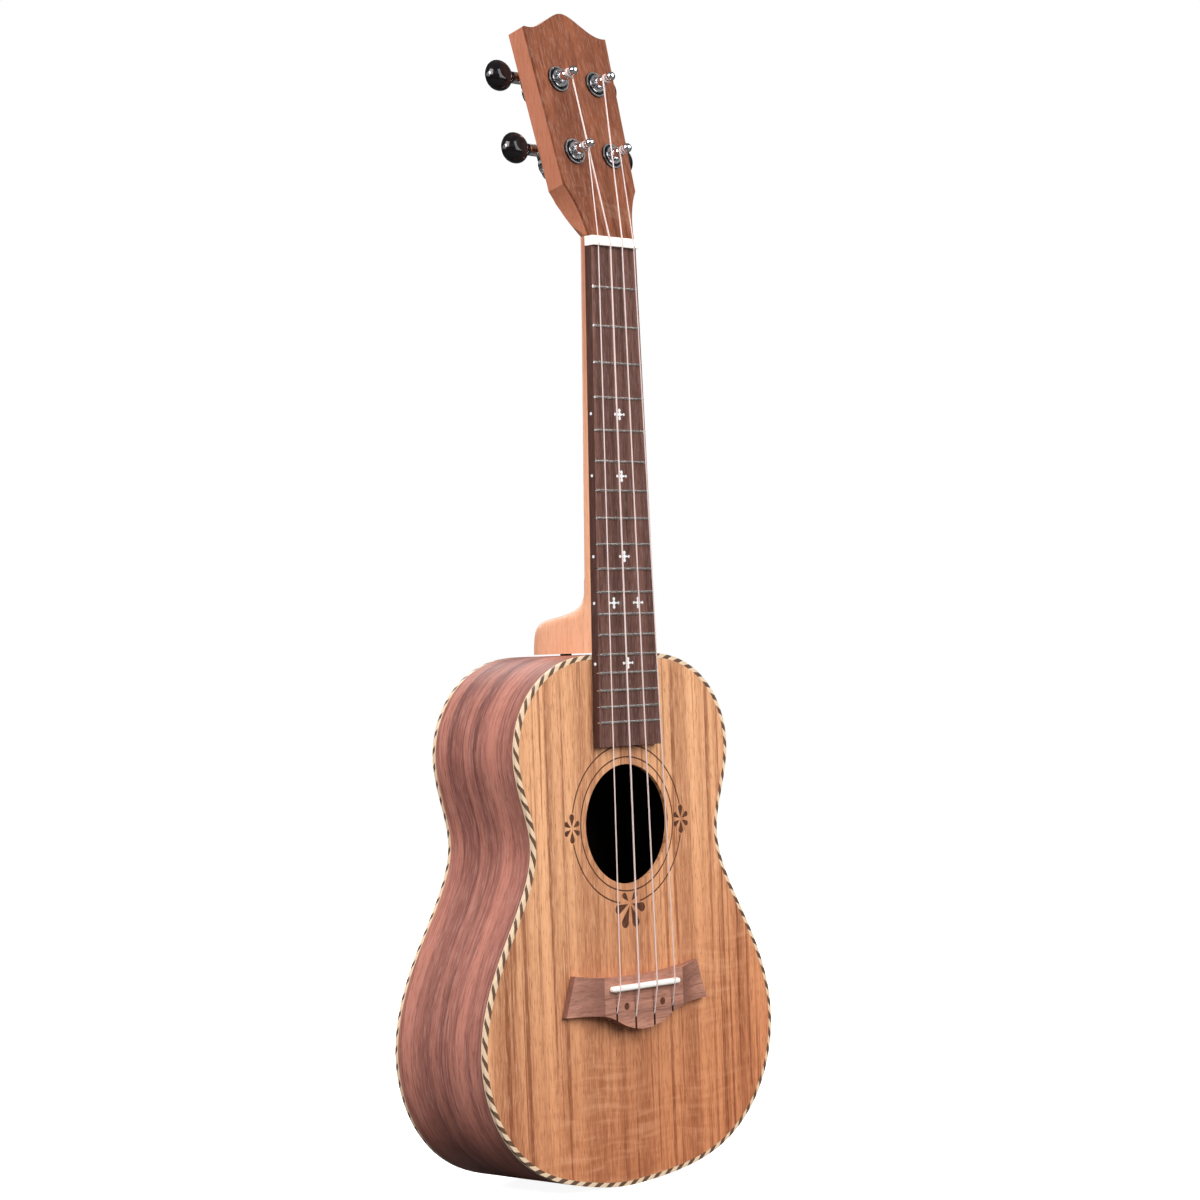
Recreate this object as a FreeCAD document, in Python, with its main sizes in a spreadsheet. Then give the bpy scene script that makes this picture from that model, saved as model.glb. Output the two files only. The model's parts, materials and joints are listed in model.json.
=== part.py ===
"""A concert ukulele with geared tuners, as a parametric FreeCAD document.

Millimetres.  The origin is on the neck's top plane, where the fretboard side of the nut
crosses the centre line.  +X is the treble side, +Y goes into the body and +Z runs up the neck.
"""
import FreeCAD, Part
import Sketcher

import math
import os

from FreeCAD import Placement, Rotation, Vector

os.makedirs("parts", exist_ok=True)
doc = FreeCAD.newDocument("ukulele")

# ---------------------------------------------------------------------------
# Driving sizes
# ---------------------------------------------------------------------------
SIZES = {
    # strings and scale
    "scale_length": 380.0,
    "saddle_setback": 1.5,
    "joint_fret": 14,
    "nut_string_spread": 26.6,
    "saddle_string_spread": 41.2,
    "string_above_board_at_nut": 1.5,
    "string_above_bridge_at_saddle": 2.4,
    # body
    "body_length": 273.3,
    "lower_bout_width": 216.8,
    "waist_width": 139.0,
    "upper_bout_width": 159.0,
    "depth_at_tail": 67.0,
    "depth_at_neck": 59.0,
    "plate_thickness": 2.2,
    "side_thickness": 2.0,
    "binding_width": 2.3,
    "glue_line": 0.08,
    "seat_clearance": 0.03,
    "lining_width": 5.0,
    "lining_height": 9.0,
    "neck_block_width": 50.0,
    "neck_block_length": 24.0,
    "tail_block_width": 60.0,
    "tail_block_length": 12.0,
    "brace_width": 5.0,
    "brace_height": 8.0,
    "fan_brace_width": 4.0,
    "fan_brace_height": 5.0,
    "fan_brace_spacing": 38.0,
    "fan_brace_gap": 4.0,
    "back_strip_width": 14.0,
    "back_strip_thickness": 1.6,
    "bridge_plate_thickness": 2.0,
    "bridge_plate_length": 92.0,
    "bridge_plate_width": 34.0,
    # sound hole and its inlaid lines
    "hole_radius": 30.9,
    "hole_below_board": 40.45,
    "inner_ring_radius": 34.6,
    "outer_ring_radius": 41.0,
    "ring_line_width": 0.8,
    "inlay_depth": 0.6,
    # neck
    "neck_depth_at_nut": 10.4,
    "neck_depth_at_heel": 14.2,
    "heel_short_of_back": 1.5,
    "heel_length": 18.0,
    "heel_sweep": 22.0,
    "dowel_radius": 3.0,
    "dowel_length": 34.0,
    "dowel_shift": 2.0,
    # fretboard, frets and nut
    "board_thickness": 4.6,
    "board_width_at_nut": 33.6,
    "board_width_at_last_fret": 46.0,
    "fret_count": 18,
    "board_overhang": 12.5,
    "fret_width": 1.6,
    "fret_height": 0.8,
    "fret_end_inset": 0.4,
    "tang_width": 0.5,
    "tang_depth": 1.7,
    "marker_depth": 0.8,
    "side_dot_radius": 0.8,
    "side_dot_depth": 1.5,
    "nut_thickness": 5.0,
    "nut_above_board": 2.2,
    "nut_crown_rise": 0.2,
    "nut_crown_setback": 1.2,
    "nut_back_drop": 1.2,
    # headstock
    "head_tilt": 14.4,
    "head_face_drop": 4.97,
    "head_length": 130.7,
    "head_corner_from_nut": 120.0,
    "head_top_width": 61.0,
    "head_shoulder_from_nut": 33.0,
    "head_shoulder_width": 53.2,
    "head_thickness": 12.0,
    "veneer_thickness": 1.5,
    # bridge and saddle
    "bridge_height": 8.0,
    "bridge_wing_height": 3.4,
    "bridge_block_width": 59.0,
    "bridge_top_width": 92.0,
    "bridge_bottom_width": 106.0,
    "bridge_above_saddle": 8.6,
    "bridge_below_saddle": 12.2,
    "bridge_belly": 10.0,
    "bridge_hollow": 3.6,
    "bridge_foot_lift": 0.4,
    "saddle_length": 51.0,
    "saddle_width": 3.0,
    "saddle_slot_depth": 4.5,
    "saddle_groove_depth": 0.3,
    "string_slot_width": 1.4,
    "string_slot_floor": 0.6,
    "string_slot_overrun": 2.8,
    "inner_slot_from_saddle": 15.2,
    "outer_slot_from_saddle": 12.4,
    "knot_radius": 1.4,
    "knot_clearance": 0.15,
    "knot_above_top": 1.2,
    "knot_below_slot": 2.6,
    "plug_radius": 1.9,
    "plug_depth": 2.5,
    "plug_spacing": 27.0,
    "plug_below_saddle": 9.6,
    # tuners
    "post_spacing_across": 28.0,
    "upper_post_from_nut": 91.9,
    "lower_post_from_nut": 51.6,
    "post_radius": 2.75,
    "post_waist_radius": 1.7,
    "post_ball_radius": 2.5,
    "post_string_height": 8.6,
    "post_waist_height": 2.4,
    "post_tail_radius": 2.2,
    "post_tail_length": 2.0,
    "running_clearance": 0.06,
    "bushing_radius": 4.2,
    "bushing_collar_radius": 4.9,
    "bushing_collar_height": 1.7,
    "washer_radius": 7.0,
    "washer_height": 1.3,
    "tuner_plate_thickness": 1.0,
    "gear_module": 0.5,
    "wheel_teeth": 16,
    "wheel_thickness": 3.0,
    "worm_pitch_radius": 2.5,
    "worm_core_radius": 1.95,
    "worm_turns": 4,
    "worm_shoulder": 1.2,
    "worm_room": 1.0,
    "wheel_room": 1.1,
    "shaft_radius": 2.0,
    "shaft_tip_radius": 1.5,
    "shaft_behind_plate": 4.0,
    "shaft_end_gap": 0.2,
    "shaft_step_gap": 0.3,
    "inner_journal_length": 1.6,
    "housing_wall": 1.3,
    "housing_back_wall": 1.2,
    "housing_corner_radius": 2.5,
    "housing_rim_radius": 1.0,
    "housing_reach": 16.5,
    "sleeve_radius": 3.1,
    "ear_reach": 11.0,
    "ear_angle": 222.0,
    "ear_radius": 3.1,
    "ear_thickness": 2.2,
    "ear_arm_inset": 0.6,
    "button_gap": 0.9,
    "button_length": 16.0,
    "button_height": 16.6,
    "button_thickness": 12.5,
    "button_collar_radius": 3.0,
    "button_collar_length": 4.0,
    "tip_short_of_button_end": 4.0,
    "button_screw_head_radius": 1.7,
    "button_screw_radius": 0.8,
    "button_screw_length": 6.6,
    "button_screw_sink": 1.6,
    "mount_screw_length": 8.0,
    "mount_screw_radius": 1.1,
    "mount_screw_head_radius": 2.1,
}
STRINGS = (("g", -3, "lower", 0.62), ("c", -1, "upper", 0.90), ("e", 1, "upper", 0.80), ("a", 3, "lower", 0.66))
MARKER_FRETS = (5, 7, 10, 12, 15)
DOUBLE_MARKER_FRET = 12

sheet = doc.addObject("Spreadsheet::Sheet", "Sizes")
for row, (alias, value) in enumerate(SIZES.items(), start=1):
    sheet.set("A%d" % row, alias)
    sheet.set("B%d" % row, str(value))
    sheet.setAlias("B%d" % row, alias)
for name, _, _, diameter in STRINGS:
    row += 1
    sheet.set("A%d" % row, "string_diameter_" + name)
    sheet.set("B%d" % row, str(diameter))
    sheet.setAlias("B%d" % row, "string_diameter_" + name)
doc.recompute()


def size(alias):
    """The number in the sheet's cell with this alias."""
    return float(getattr(sheet, alias))


# ---------------------------------------------------------------------------
# Helpers
# ---------------------------------------------------------------------------
PIECES = []


def keep(piece):
    """Note a finished sub-part, to be checked and written at the end."""
    PIECES.append(piece)
    return piece


def bind(thing, **expressions):
    for prop, expression in expressions.items():
        thing.setExpression(prop.replace("__", "."), expression)


def shaped(label, shape, placement=None):
    """A sub-part whose form comes from lofts and curves that no primitive gives."""
    piece = doc.addObject("Part::Feature", label)
    piece.Label = label
    piece.Shape = shape
    if placement is not None:
        piece.Placement = placement
    return keep(piece)


def block(name, length, width, height, at):
    """A Part::Box bound to the sheet; at is its low corner, as three expressions."""
    piece = doc.addObject("Part::Box", name)
    piece.Label = name
    bind(piece, Length=length, Width=width, Height=height)
    for axis, expression in zip("xyz", at):
        piece.setExpression(".Placement.Base." + axis, expression)
    return piece


def rod(name, radius, height, at, axis):
    """A Part::Cylinder bound to the sheet, from the point at along axis."""
    piece = doc.addObject("Part::Cylinder", name)
    piece.Label = name
    bind(piece, Radius=radius, Height=height)
    piece.Placement = Placement(Vector(0, 0, 0), Rotation(Vector(0, 0, 1), axis))
    for letter, expression in zip("xyz", at):
        piece.setExpression(".Placement.Base." + letter, expression)
    return piece


def origin_plane(body, role):
    return next(feature for feature in body.Origin.OriginFeatures if feature.Role == role)


def polygon_sketch(body, name, role, corners):
    """A closed sketch through corners, each coordinate of each corner bound to an expression."""
    sketch = body.newObject("Sketcher::SketchObject", name)
    sketch.AttachmentSupport = [(origin_plane(body, role), "")]
    sketch.MapMode = "FlatFace"
    points = [Vector(evaluate(across), evaluate(up), 0) for across, up in corners]
    for here, there in zip(points, points[1:] + points[:1]):
        sketch.addGeometry(Part.LineSegment(here, there))
    count = len(points)
    for index in range(count):
        sketch.addConstraint(Sketcher.Constraint("Coincident", index, 2, (index + 1) % count, 1))
    for index, ((across, up), point) in enumerate(zip(corners, points)):
        for kind, expression, value in (("DistanceX", across, point.x), ("DistanceY", up, point.y)):
            if abs(value) < 1e-9:
                axis = -2 if kind == "DistanceX" else -1
                sketch.addConstraint(Sketcher.Constraint("PointOnObject", index, 1, axis))
                continue
            number = sketch.addConstraint(Sketcher.Constraint(kind, -1, 1, index, 1, value))
            sketch.setExpression("Constraints[%d]" % number, expression)
    return sketch


def evaluate(expression):
    """The value of an expression that names cells of the sheet."""
    probe = polygon_probe
    probe.setExpression("number", expression)
    probe.recompute()
    return probe.number


polygon_probe = doc.addObject("App::FeaturePython", "Probe")
polygon_probe.addProperty("App::PropertyFloat", "number")


def turned(label, profile, placement):
    """A turned piece: a sketch of (radius, length along the axis) corners, revolved about local Z."""
    body = doc.addObject("PartDesign::Body", label)
    body.Label = label
    sketch = polygon_sketch(body, label + "_profile", "XZ_Plane", profile)
    revolution = body.newObject("PartDesign::Revolution", label + "_turn")
    revolution.Profile = sketch
    revolution.ReferenceAxis = (sketch, ["V_Axis"])
    revolution.Angle = 360
    body.Placement = placement
    return body


def fuse(shapes):
    first, rest = shapes[0], shapes[1:]
    return first.fuse(rest).removeSplitter() if rest else first


def closed_curve(points):
    curve = Part.BSplineCurve()
    curve.interpolate(Points=points, PeriodicFlag=True)
    return curve


def open_curve(points, start=None, finish=None):
    curve = Part.BSplineCurve()
    if start is None:
        curve.interpolate(Points=points)
    else:
        curve.interpolate(Points=points, InitialTangent=start, FinalTangent=finish)
    return curve


def extrusion(wire, direction):
    return Part.Face(wire).extrude(direction)


# ---------------------------------------------------------------------------
# Places worked out from the driving sizes
# ---------------------------------------------------------------------------
scale_length = size("scale_length")


def fret_place(number):
    """Z of a fret, below the nut, in equal temperament."""
    return -scale_length * (1 - 2 ** (-number / 12))


body_top = fret_place(size("joint_fret"))
tail = body_top - size("body_length")
saddle_place = -scale_length - size("saddle_setback")
board_end = fret_place(size("fret_count")) - size("board_overhang")
hole_place = board_end - size("hole_below_board")
plate = size("plate_thickness")
board_top = -size("board_thickness")


def depth_at(z):
    """Depth of the body from its face to its flat, slightly sloping back."""
    share = (z - tail) / size("body_length")
    return size("depth_at_tail") + share * (size("depth_at_neck") - size("depth_at_tail"))


def board_half_width(z):
    """Half the fretboard's width at a height z, which is 0 or less."""
    widening = size("board_width_at_last_fret") - size("board_width_at_nut")
    return (size("board_width_at_nut") + widening * z / fret_place(size("fret_count"))) / 2


# ---------------------------------------------------------------------------
# Body outline and the solids cut from it
# ---------------------------------------------------------------------------
def outline_points():
    """The body's edge, from the tail up the treble side and back down the other."""
    length = size("body_length")
    lower = size("lower_bout_width") / 2
    waist = size("waist_width") / 2
    upper = size("upper_bout_width") / 2
    right = (
        (0.0, 0.0), (0.364 * lower, 0.0143), (0.648 * lower, 0.0500), (0.878 * lower, 0.128),
        (lower, 0.278), (0.882 * lower, 0.439), (1.125 * waist, 0.550), (waist, 0.648),
        (0.9635 * upper, 0.754), (upper, 0.831), (0.8465 * upper, 0.933), (0.49 * upper, 0.9925),
        (0.0, 1.0),
    )
    points = [Vector(half, 0, tail + share * length) for half, share in right]
    points += [Vector(-half, 0, tail + share * length) for half, share in reversed(right[1:-1])]
    return points


OUTLINE = closed_curve(outline_points())
OUTLINE_SAMPLES = 72


def outline(inset):
    """The body's edge moved inwards by inset."""
    if inset == 0:
        return OUTLINE
    moved = []
    for point in OUTLINE.discretize(Number=OUTLINE_SAMPLES + 1)[:-1]:
        along = OUTLINE.tangent(OUTLINE.parameter(point))[0]
        moved.append(point + Vector(-along.z, 0, along.x) * inset)
    return closed_curve(moved)


PRISMS = {}
# Past every edge of the body: behind its back, to each side of it, and above or below it
PRISM_DEPTH = 90.0
ASIDE = 150.0
BEYOND = 20.0


def prism(inset):
    """Everything inside the outline, from the body's face back past its back."""
    if inset not in PRISMS:
        PRISMS[inset] = extrusion(Part.Wire([outline(inset).toShape()]), Vector(0, PRISM_DEPTH, 0))
    return PRISMS[inset]


def ring(outer_inset, inner_inset):
    return prism(outer_inset).cut(prism(inner_inset))


def layer(front, back_gap_high, back_gap_low=None):
    """A slab across the body.

    With two values it runs from front to back_gap_high in front of the back; with three, front
    is unused and it lies between the two gaps in front of the sloping back.
    """
    low, high = tail - BEYOND, body_top + BEYOND
    if back_gap_low is None:
        near = [Vector(-ASIDE, front, low), Vector(-ASIDE, front, high)]
    else:
        near = [Vector(-ASIDE, depth_at(z) - back_gap_low, z) for z in (low, high)]
    far = [Vector(-ASIDE, depth_at(z) - back_gap_high, z) for z in (high, low)]
    corners = near + far
    return extrusion(Part.makePolygon(corners + corners[:1]), Vector(2 * ASIDE, 0, 0))


def front_layer(near, far):
    corner = Vector(-ASIDE, near, tail - BEYOND)
    return Part.makeBox(2 * ASIDE, far - near, size("body_length") + 2 * BEYOND, corner)


binding = size("binding_width")
wall = size("side_thickness")
glued = wall + size("glue_line")
lining_inset = wall + size("lining_width")
block_half = size("neck_block_width") / 2
tail_half = size("tail_block_width") / 2
block_foot = body_top - wall - size("neck_block_length")
tail_block_top = tail + wall + size("tail_block_length")
BLOCK_BOX_HEIGHT = 60.0
neck_block_box = Part.makeBox(2 * block_half, PRISM_DEPTH, BLOCK_BOX_HEIGHT, Vector(-block_half, 0, block_foot))
tail_block_box = Part.makeBox(2 * tail_half, PRISM_DEPTH, BLOCK_BOX_HEIGHT,
                              Vector(-tail_half, 0, tail_block_top - BLOCK_BOX_HEIGHT))
dowel_middle = body_top + size("dowel_shift")
dowel_depths = [share * size("depth_at_neck") for share in (0.27, 0.68)]


def dowel_holes():
    """The two neck dowels' space, through the heel, the sides and the neck block."""
    low = Vector(0, 0, dowel_middle - size("dowel_length") / 2)
    return fuse([
        Part.makeCylinder(size("dowel_radius") + size("seat_clearance"), size("dowel_length"),
                          low + Vector(0, depth, 0))
        for depth in dowel_depths
    ])


# Rosette: two inlaid lines round the hole and three plain petal ornaments.
# A petal is (angle in degrees, start from the ornament's centre, length, half width).
def annulus(radius, line, depth):
    outer = Part.makeCylinder(radius + line / 2, depth, Vector(0, 0, hole_place), Vector(0, 1, 0))
    inner = Part.makeCylinder(radius - line / 2, depth, Vector(0, 0, hole_place), Vector(0, 1, 0))
    return outer.cut(inner)


def petal(centre, angle, start, length, half_width, depth):
    """A teardrop that points at centre, its round end outwards."""
    direction = Vector(math.cos(angle), 0, math.sin(angle))
    across = Vector(-math.sin(angle), 0, math.cos(angle))
    tip = centre + direction * start
    round_centre = centre + direction * (start + length - half_width)
    lean = math.asin(half_width / (length - half_width))
    touch = direction * (-math.sin(lean) * half_width)
    side = across * (math.cos(lean) * half_width)
    first, last = round_centre + touch + side, round_centre + touch - side
    crown = centre + direction * (start + length)
    edges = [Part.LineSegment(tip, first), Part.Arc(first, crown, last), Part.LineSegment(last, tip)]
    return extrusion(Part.Wire([edge.toShape() for edge in edges]), Vector(0, depth, 0))


def ornament(centre, petals, depth):
    return [petal(centre, math.radians(angle), start, length, half, depth)
            for angle, start, length, half in petals]


SIDE_PETALS = [(angle, 0.9, 6.6, 1.7) for angle in (90, 270)]
SIDE_PETALS += [(angle, 1.0, 5.2, 1.4) for angle in (30, 150, 210, 330)]
LOWER_PETALS = [(angle, 1.4, 6.0, 1.6) for angle in (45, 135)]
LOWER_PETALS += [(angle, 1.4, 10.2, 2.4) for angle in (343, 197)]
LOWER_PETALS += [(angle, 1.4, 12.0, 2.6) for angle in (292, 248)]
ring_radius = size("outer_ring_radius")
SIDE_BREAK = 8.0
LOWER_BREAK = 7.4


def rosette_solids():
    depth = size("inlay_depth")
    spots = (
        (Vector(ring_radius, 0, hole_place), SIDE_PETALS, SIDE_BREAK),
        (Vector(-ring_radius, 0, hole_place), SIDE_PETALS, SIDE_BREAK),
        (Vector(0, 0, hole_place - ring_radius), LOWER_PETALS, LOWER_BREAK),
    )
    line = size("ring_line_width")
    outer = annulus(ring_radius, line, depth)
    petals = []
    for spot, shapes, reach in spots:
        petals += ornament(spot, shapes, depth)
        outer = outer.cut(Part.makeCylinder(reach, 3 * depth, spot - Vector(0, depth, 0), Vector(0, 1, 0)))
    return [annulus(size("inner_ring_radius"), line, depth)] + outer.Solids + petals


rosette = Part.makeCompound(rosette_solids())

# Plates, sides and bindings
sound_hole = Part.makeCylinder(size("hole_radius"), 20, Vector(0, -5, hole_place), Vector(0, 1, 0))
top = prism(binding).common(front_layer(0, plate)).cut(sound_hole)
for solid in rosette.Solids:
    top = top.cut(solid)
shaped("soundboard", top)
shaped("rosette", rosette)
shaped("back_plate", prism(binding).common(layer(0, 0, plate)))
shaped("front_binding", ring(0, binding).common(front_layer(0, plate)))
shaped("back_binding", ring(0, binding).common(layer(0, 0, plate)))
rim = ring(0, wall).common(layer(plate, plate)).cut(dowel_holes())
half_space = Part.makeBox(ASIDE, 2 * PRISM_DEPTH, size("body_length") + 2 * BEYOND,
                          Vector(-ASIDE, -PRISM_DEPTH, tail - BEYOND))
shaped("side_left", rim.common(half_space))
shaped("side_right", rim.cut(half_space))

# Linings, blocks and braces inside the body
lining_ring = ring(glued, lining_inset).cut(neck_block_box).cut(tail_block_box)
lining_depth = plate + size("lining_height")
brace = size("brace_height")
upper_brace_z = hole_place + size("outer_ring_radius")
lower_brace_z = hole_place - size("outer_ring_radius")
half_brace = size("brace_width") / 2
BACK_BRACE_SHARES = (0.20, 0.50, 0.82)


def cross_bar(z, wide):
    return Part.makeBox(2 * ASIDE, PRISM_DEPTH, wide, Vector(-ASIDE, 0, z - wide / 2))


front_bars = [cross_bar(z, 2 * half_brace) for z in (upper_brace_z, lower_brace_z)]
front_lining = lining_ring.common(front_layer(plate, lining_depth))
back_lining = lining_ring.common(layer(0, plate, lining_depth))
back_bars = [cross_bar(tail + share * size("body_length"), 2 * half_brace) for share in BACK_BRACE_SHARES]
for bar in front_bars:
    front_lining = front_lining.cut(bar.common(front_layer(plate, plate + brace)))
for bar in back_bars:
    back_lining = back_lining.cut(bar.common(layer(0, plate, plate + brace)))
shaped("front_lining", front_lining)
shaped("back_lining", back_lining)
neck_block = prism(glued).common(neck_block_box).common(layer(plate, plate)).cut(dowel_holes())
shaped("neck_block", neck_block)
shaped("tail_block", prism(glued).common(tail_block_box).common(layer(plate, plate)))

inside = prism(glued)
fan_top = saddle_place - size("bridge_plate_width") / 2 - size("fan_brace_gap")
fan_foot = tail_block_top + 3 * size("fan_brace_gap")
fan_half = size("fan_brace_width") / 2
top_braces = [bar.common(front_layer(plate, plate + brace)).common(inside) for bar in front_bars]
for offset in (-1, 0, 1):
    corner = Vector(offset * size("fan_brace_spacing") - fan_half, plate, fan_foot)
    top_braces.append(Part.makeBox(2 * fan_half, size("fan_brace_height"), fan_top - fan_foot, corner))
shaped("top_braces", Part.makeCompound(top_braces))
shaped("back_braces", Part.makeCompound([
    bar.common(layer(0, plate, plate + brace)).common(inside) for bar in back_bars
]))
strip_half = size("back_strip_width") / 2
strip_box = Part.makeBox(2 * strip_half, PRISM_DEPTH, block_foot - tail_block_top - 2,
                         Vector(-strip_half, 0, tail_block_top + 1))
back_strip = strip_box.common(layer(0, plate, plate + size("back_strip_thickness")))
for bar in back_bars:
    back_strip = back_strip.cut(bar)
shaped("back_centre_strip", back_strip)

keep(block("bridge_plate", "Sizes.bridge_plate_length", "Sizes.bridge_plate_thickness",
           "Sizes.bridge_plate_width",
           ("-Sizes.bridge_plate_length / 2", "Sizes.plate_thickness",
            "-Sizes.scale_length - Sizes.saddle_setback - Sizes.bridge_plate_width / 2")))

# ---------------------------------------------------------------------------
# Neck, headstock and fretboard
# ---------------------------------------------------------------------------
tilt = math.radians(size("head_tilt"))
face_origin = Vector(0, -size("head_face_drop"), 0)
along_head = Vector(0, math.sin(tilt), math.cos(tilt))
behind_head = Vector(0, math.cos(tilt), -math.sin(tilt))
head_turn = Rotation(Vector(1, 0, 0), -size("head_tilt"))


def on_head(across, behind, along):
    """A point given across the head, behind its face and along it from the nut."""
    return face_origin + Vector(across, 0, 0) + behind_head * behind + along_head * along


def u_section(z, half_width, front, back, fullness):
    """A closed U across the neck: flat in front, superelliptic behind."""
    steps = 12
    points = []
    for step in range(steps + 1):
        angle = math.pi * step / steps
        cosine, sine = math.cos(angle), math.sin(angle)
        across = math.copysign(abs(cosine) ** (2 / fullness), cosine) * half_width
        points.append(Vector(across, front + (back - front) * abs(sine) ** (2 / fullness), z))
    curve = open_curve(points)
    return Part.Wire([curve.toShape(), Part.LineSegment(points[-1], points[0]).toShape()])


def neck_depth(z):
    share = z / (body_top + size("heel_length") + size("heel_sweep"))
    return size("neck_depth_at_nut") + share * (size("neck_depth_at_heel") - size("neck_depth_at_nut"))


heel_top = body_top + size("heel_length")
heel_depth = size("depth_at_neck") - size("heel_short_of_back")
sweep_top = heel_top + size("heel_sweep")
SHAFT_FULLNESS = 1.95
HEEL_FULLNESS = 2.4
# (share of the sweep above the heel's corner, or of the heel below it; share of the heel's depth past the shaft's)
HEEL_PROFILE = (
    (1.0, 0.0), (0.568, 0.03), (0.364, 0.11), (0.236, 0.25), (0.136, 0.45), (0.073, 0.66), (0.009, 0.82),
    (-0.1, 0.91), (-0.306, 0.97), (-0.611, 0.995), (-1.0, 1.0), (-1.333, 1.0),
)


def heel_sections():
    sections = []
    shaft = neck_depth(sweep_top)
    for rise, share in HEEL_PROFILE:
        z = heel_top + rise * (size("heel_sweep") if rise > 0 else size("heel_length"))
        depth = shaft + share * (heel_depth - shaft)
        fullness = SHAFT_FULLNESS + min(1.0, 1.6 * share) * (HEEL_FULLNESS - SHAFT_FULLNESS)
        sections.append(u_section(z, board_half_width(z), 0, depth, fullness))
    return sections


shaft_places = [sweep_top * share for share in (1.0, 0.75, 0.5, 0.25, 0.0)]
shaft = Part.makeLoft(
    [u_section(z, board_half_width(z), 0, neck_depth(z), SHAFT_FULLNESS) for z in shaft_places], True, False)
heel = Part.makeLoft(heel_sections(), True, False).cut(prism(0)).cut(
    Part.makeBox(200, 200, 60, Vector(-100, -50, body_top - 59.0)))

# Head: a slab with a waisted foot and a pointed crest, blended into the shaft behind the nut
nut_back = size("nut_thickness")
head_foot = nut_back / math.cos(tilt) + 0.2
foot_half = size("board_width_at_nut") / 2
shoulder_half = size("head_shoulder_width") / 2
corner_half = size("head_top_width") / 2
shoulder_up = size("head_shoulder_from_nut")
corner_up = size("head_corner_from_nut")
crest = size("head_length")


def head_wire(foot, behind):
    """The head's outline in the plane that lies behind its face by the given amount."""
    def spot(across, along):
        return on_head(across, behind, along)

    def right_side(mirror):
        flare = open_curve(
            [spot(mirror * foot_half, foot), spot(mirror * (foot_half + 1.6), foot + 9),
             spot(mirror * (shoulder_half - 3.4), shoulder_up - 5.5), spot(mirror * shoulder_half, shoulder_up)])
        edge = Part.LineSegment(spot(mirror * shoulder_half, shoulder_up), spot(mirror * corner_half, corner_up))
        return [flare.toShape(), edge.toShape()]

    crown = open_curve(
        [spot(corner_half, corner_up), spot(0.62 * corner_half, corner_up + 1.9),
         spot(0.32 * corner_half, crest - 3.6), spot(0, crest), spot(-0.32 * corner_half, crest - 3.6),
         spot(-0.62 * corner_half, corner_up + 1.9), spot(-corner_half, corner_up)])
    foot_edge = Part.LineSegment(spot(-foot_half, foot), spot(foot_half, foot)).toShape()
    return Part.Wire(Part.__sortEdges__([foot_edge] + right_side(1) + [crown.toShape()] + right_side(-1)))


veneer = size("veneer_thickness")
head = size("head_thickness")


def head_slab(foot, near, far):
    return extrusion(head_wire(foot, near), behind_head * (far - near))


def head_front(z):
    """Y of the plane under the veneer, at a height z."""
    return face_origin.y + z * math.tan(tilt) + veneer / math.cos(tilt)


def head_back(z):
    return face_origin.y + z * math.tan(tilt) + head / math.cos(tilt)


blend_top = shoulder_up * math.cos(tilt)


# (share of the way from the nut to the shoulder, share of the change from round shaft to square head)
BLEND = ((0.0, 0.0), (0.15, 0.14), (0.33, 0.36), (0.55, 0.64), (0.8, 0.9), (1.0, 1.0), (1.1, 1.0))
BLEND_SPARE = 2.5


def blend_sections():
    """Sections from the round shaft behind the nut to one that clears the square-edged head."""
    sections = []
    for climb, share in BLEND:
        z = nut_back + climb * (blend_top - nut_back)
        half = foot_half - 0.05 + share * (shoulder_half - foot_half + BLEND_SPARE)
        back = (1 - share) * size("neck_depth_at_nut") + share * (head_back(z) + BLEND_SPARE)
        sections.append(u_section(z, half, head_front(z), back, SHAFT_FULLNESS + 8.0 * share))
    return sections


nut_seat = Part.makeLoft(
    [u_section(z, foot_half, 0, size("neck_depth_at_nut"), SHAFT_FULLNESS) for z in (0, nut_back)], True, True)
head_block = head_slab(head_foot, veneer, head)
head_sides = head_slab(head_foot, veneer - BLEND_SPARE, head + 2 * BLEND_SPARE)


def blend_back():
    """A wedge whose rear face slopes from the shaft at the nut to the head's own back."""
    top_z = blend_top + 2 * BLEND_SPARE
    shaft_back = size("neck_depth_at_nut") + 0.1
    corners = [Vector(-ASIDE, -BEYOND, 0), Vector(-ASIDE, shaft_back, 0), Vector(-ASIDE, shaft_back, nut_back),
               Vector(-ASIDE, head_back(blend_top), blend_top), Vector(-ASIDE, head_back(top_z), top_z),
               Vector(-ASIDE, -BEYOND, top_z)]
    return extrusion(Part.makePolygon(corners + corners[:1]), Vector(2 * ASIDE, 0, 0))


head_blend = Part.makeLoft(blend_sections(), True, False).common(head_sides).common(blend_back())
behind_nut = Part.makeBox(2 * ASIDE, 2 * ASIDE, 2 * ASIDE, Vector(-ASIDE, -ASIDE, nut_back))
clear_slab = head_block.common(
    Part.makeBox(2 * ASIDE, 2 * ASIDE, 2 * ASIDE, Vector(-ASIDE, -ASIDE, blend_top)))


def post_hole(across, along, radius):
    start = on_head(across, -1, along)
    return Part.makeCylinder(radius, head + 2, start, behind_head)


half_posts = size("post_spacing_across") / 2
bushing_hole = size("bushing_radius") + size("seat_clearance")
TUNERS = (
    ("upper_left", -1, size("upper_post_from_nut")), ("upper_right", 1, size("upper_post_from_nut")),
    ("lower_left", -1, size("lower_post_from_nut")), ("lower_right", 1, size("lower_post_from_nut")),
)
ear_angle = math.radians(size("ear_angle"))
ear_across = -math.cos(ear_angle) * size("ear_reach")
ear_along = math.sin(ear_angle) * size("ear_reach")
screw_length = size("mount_screw_length")


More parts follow.
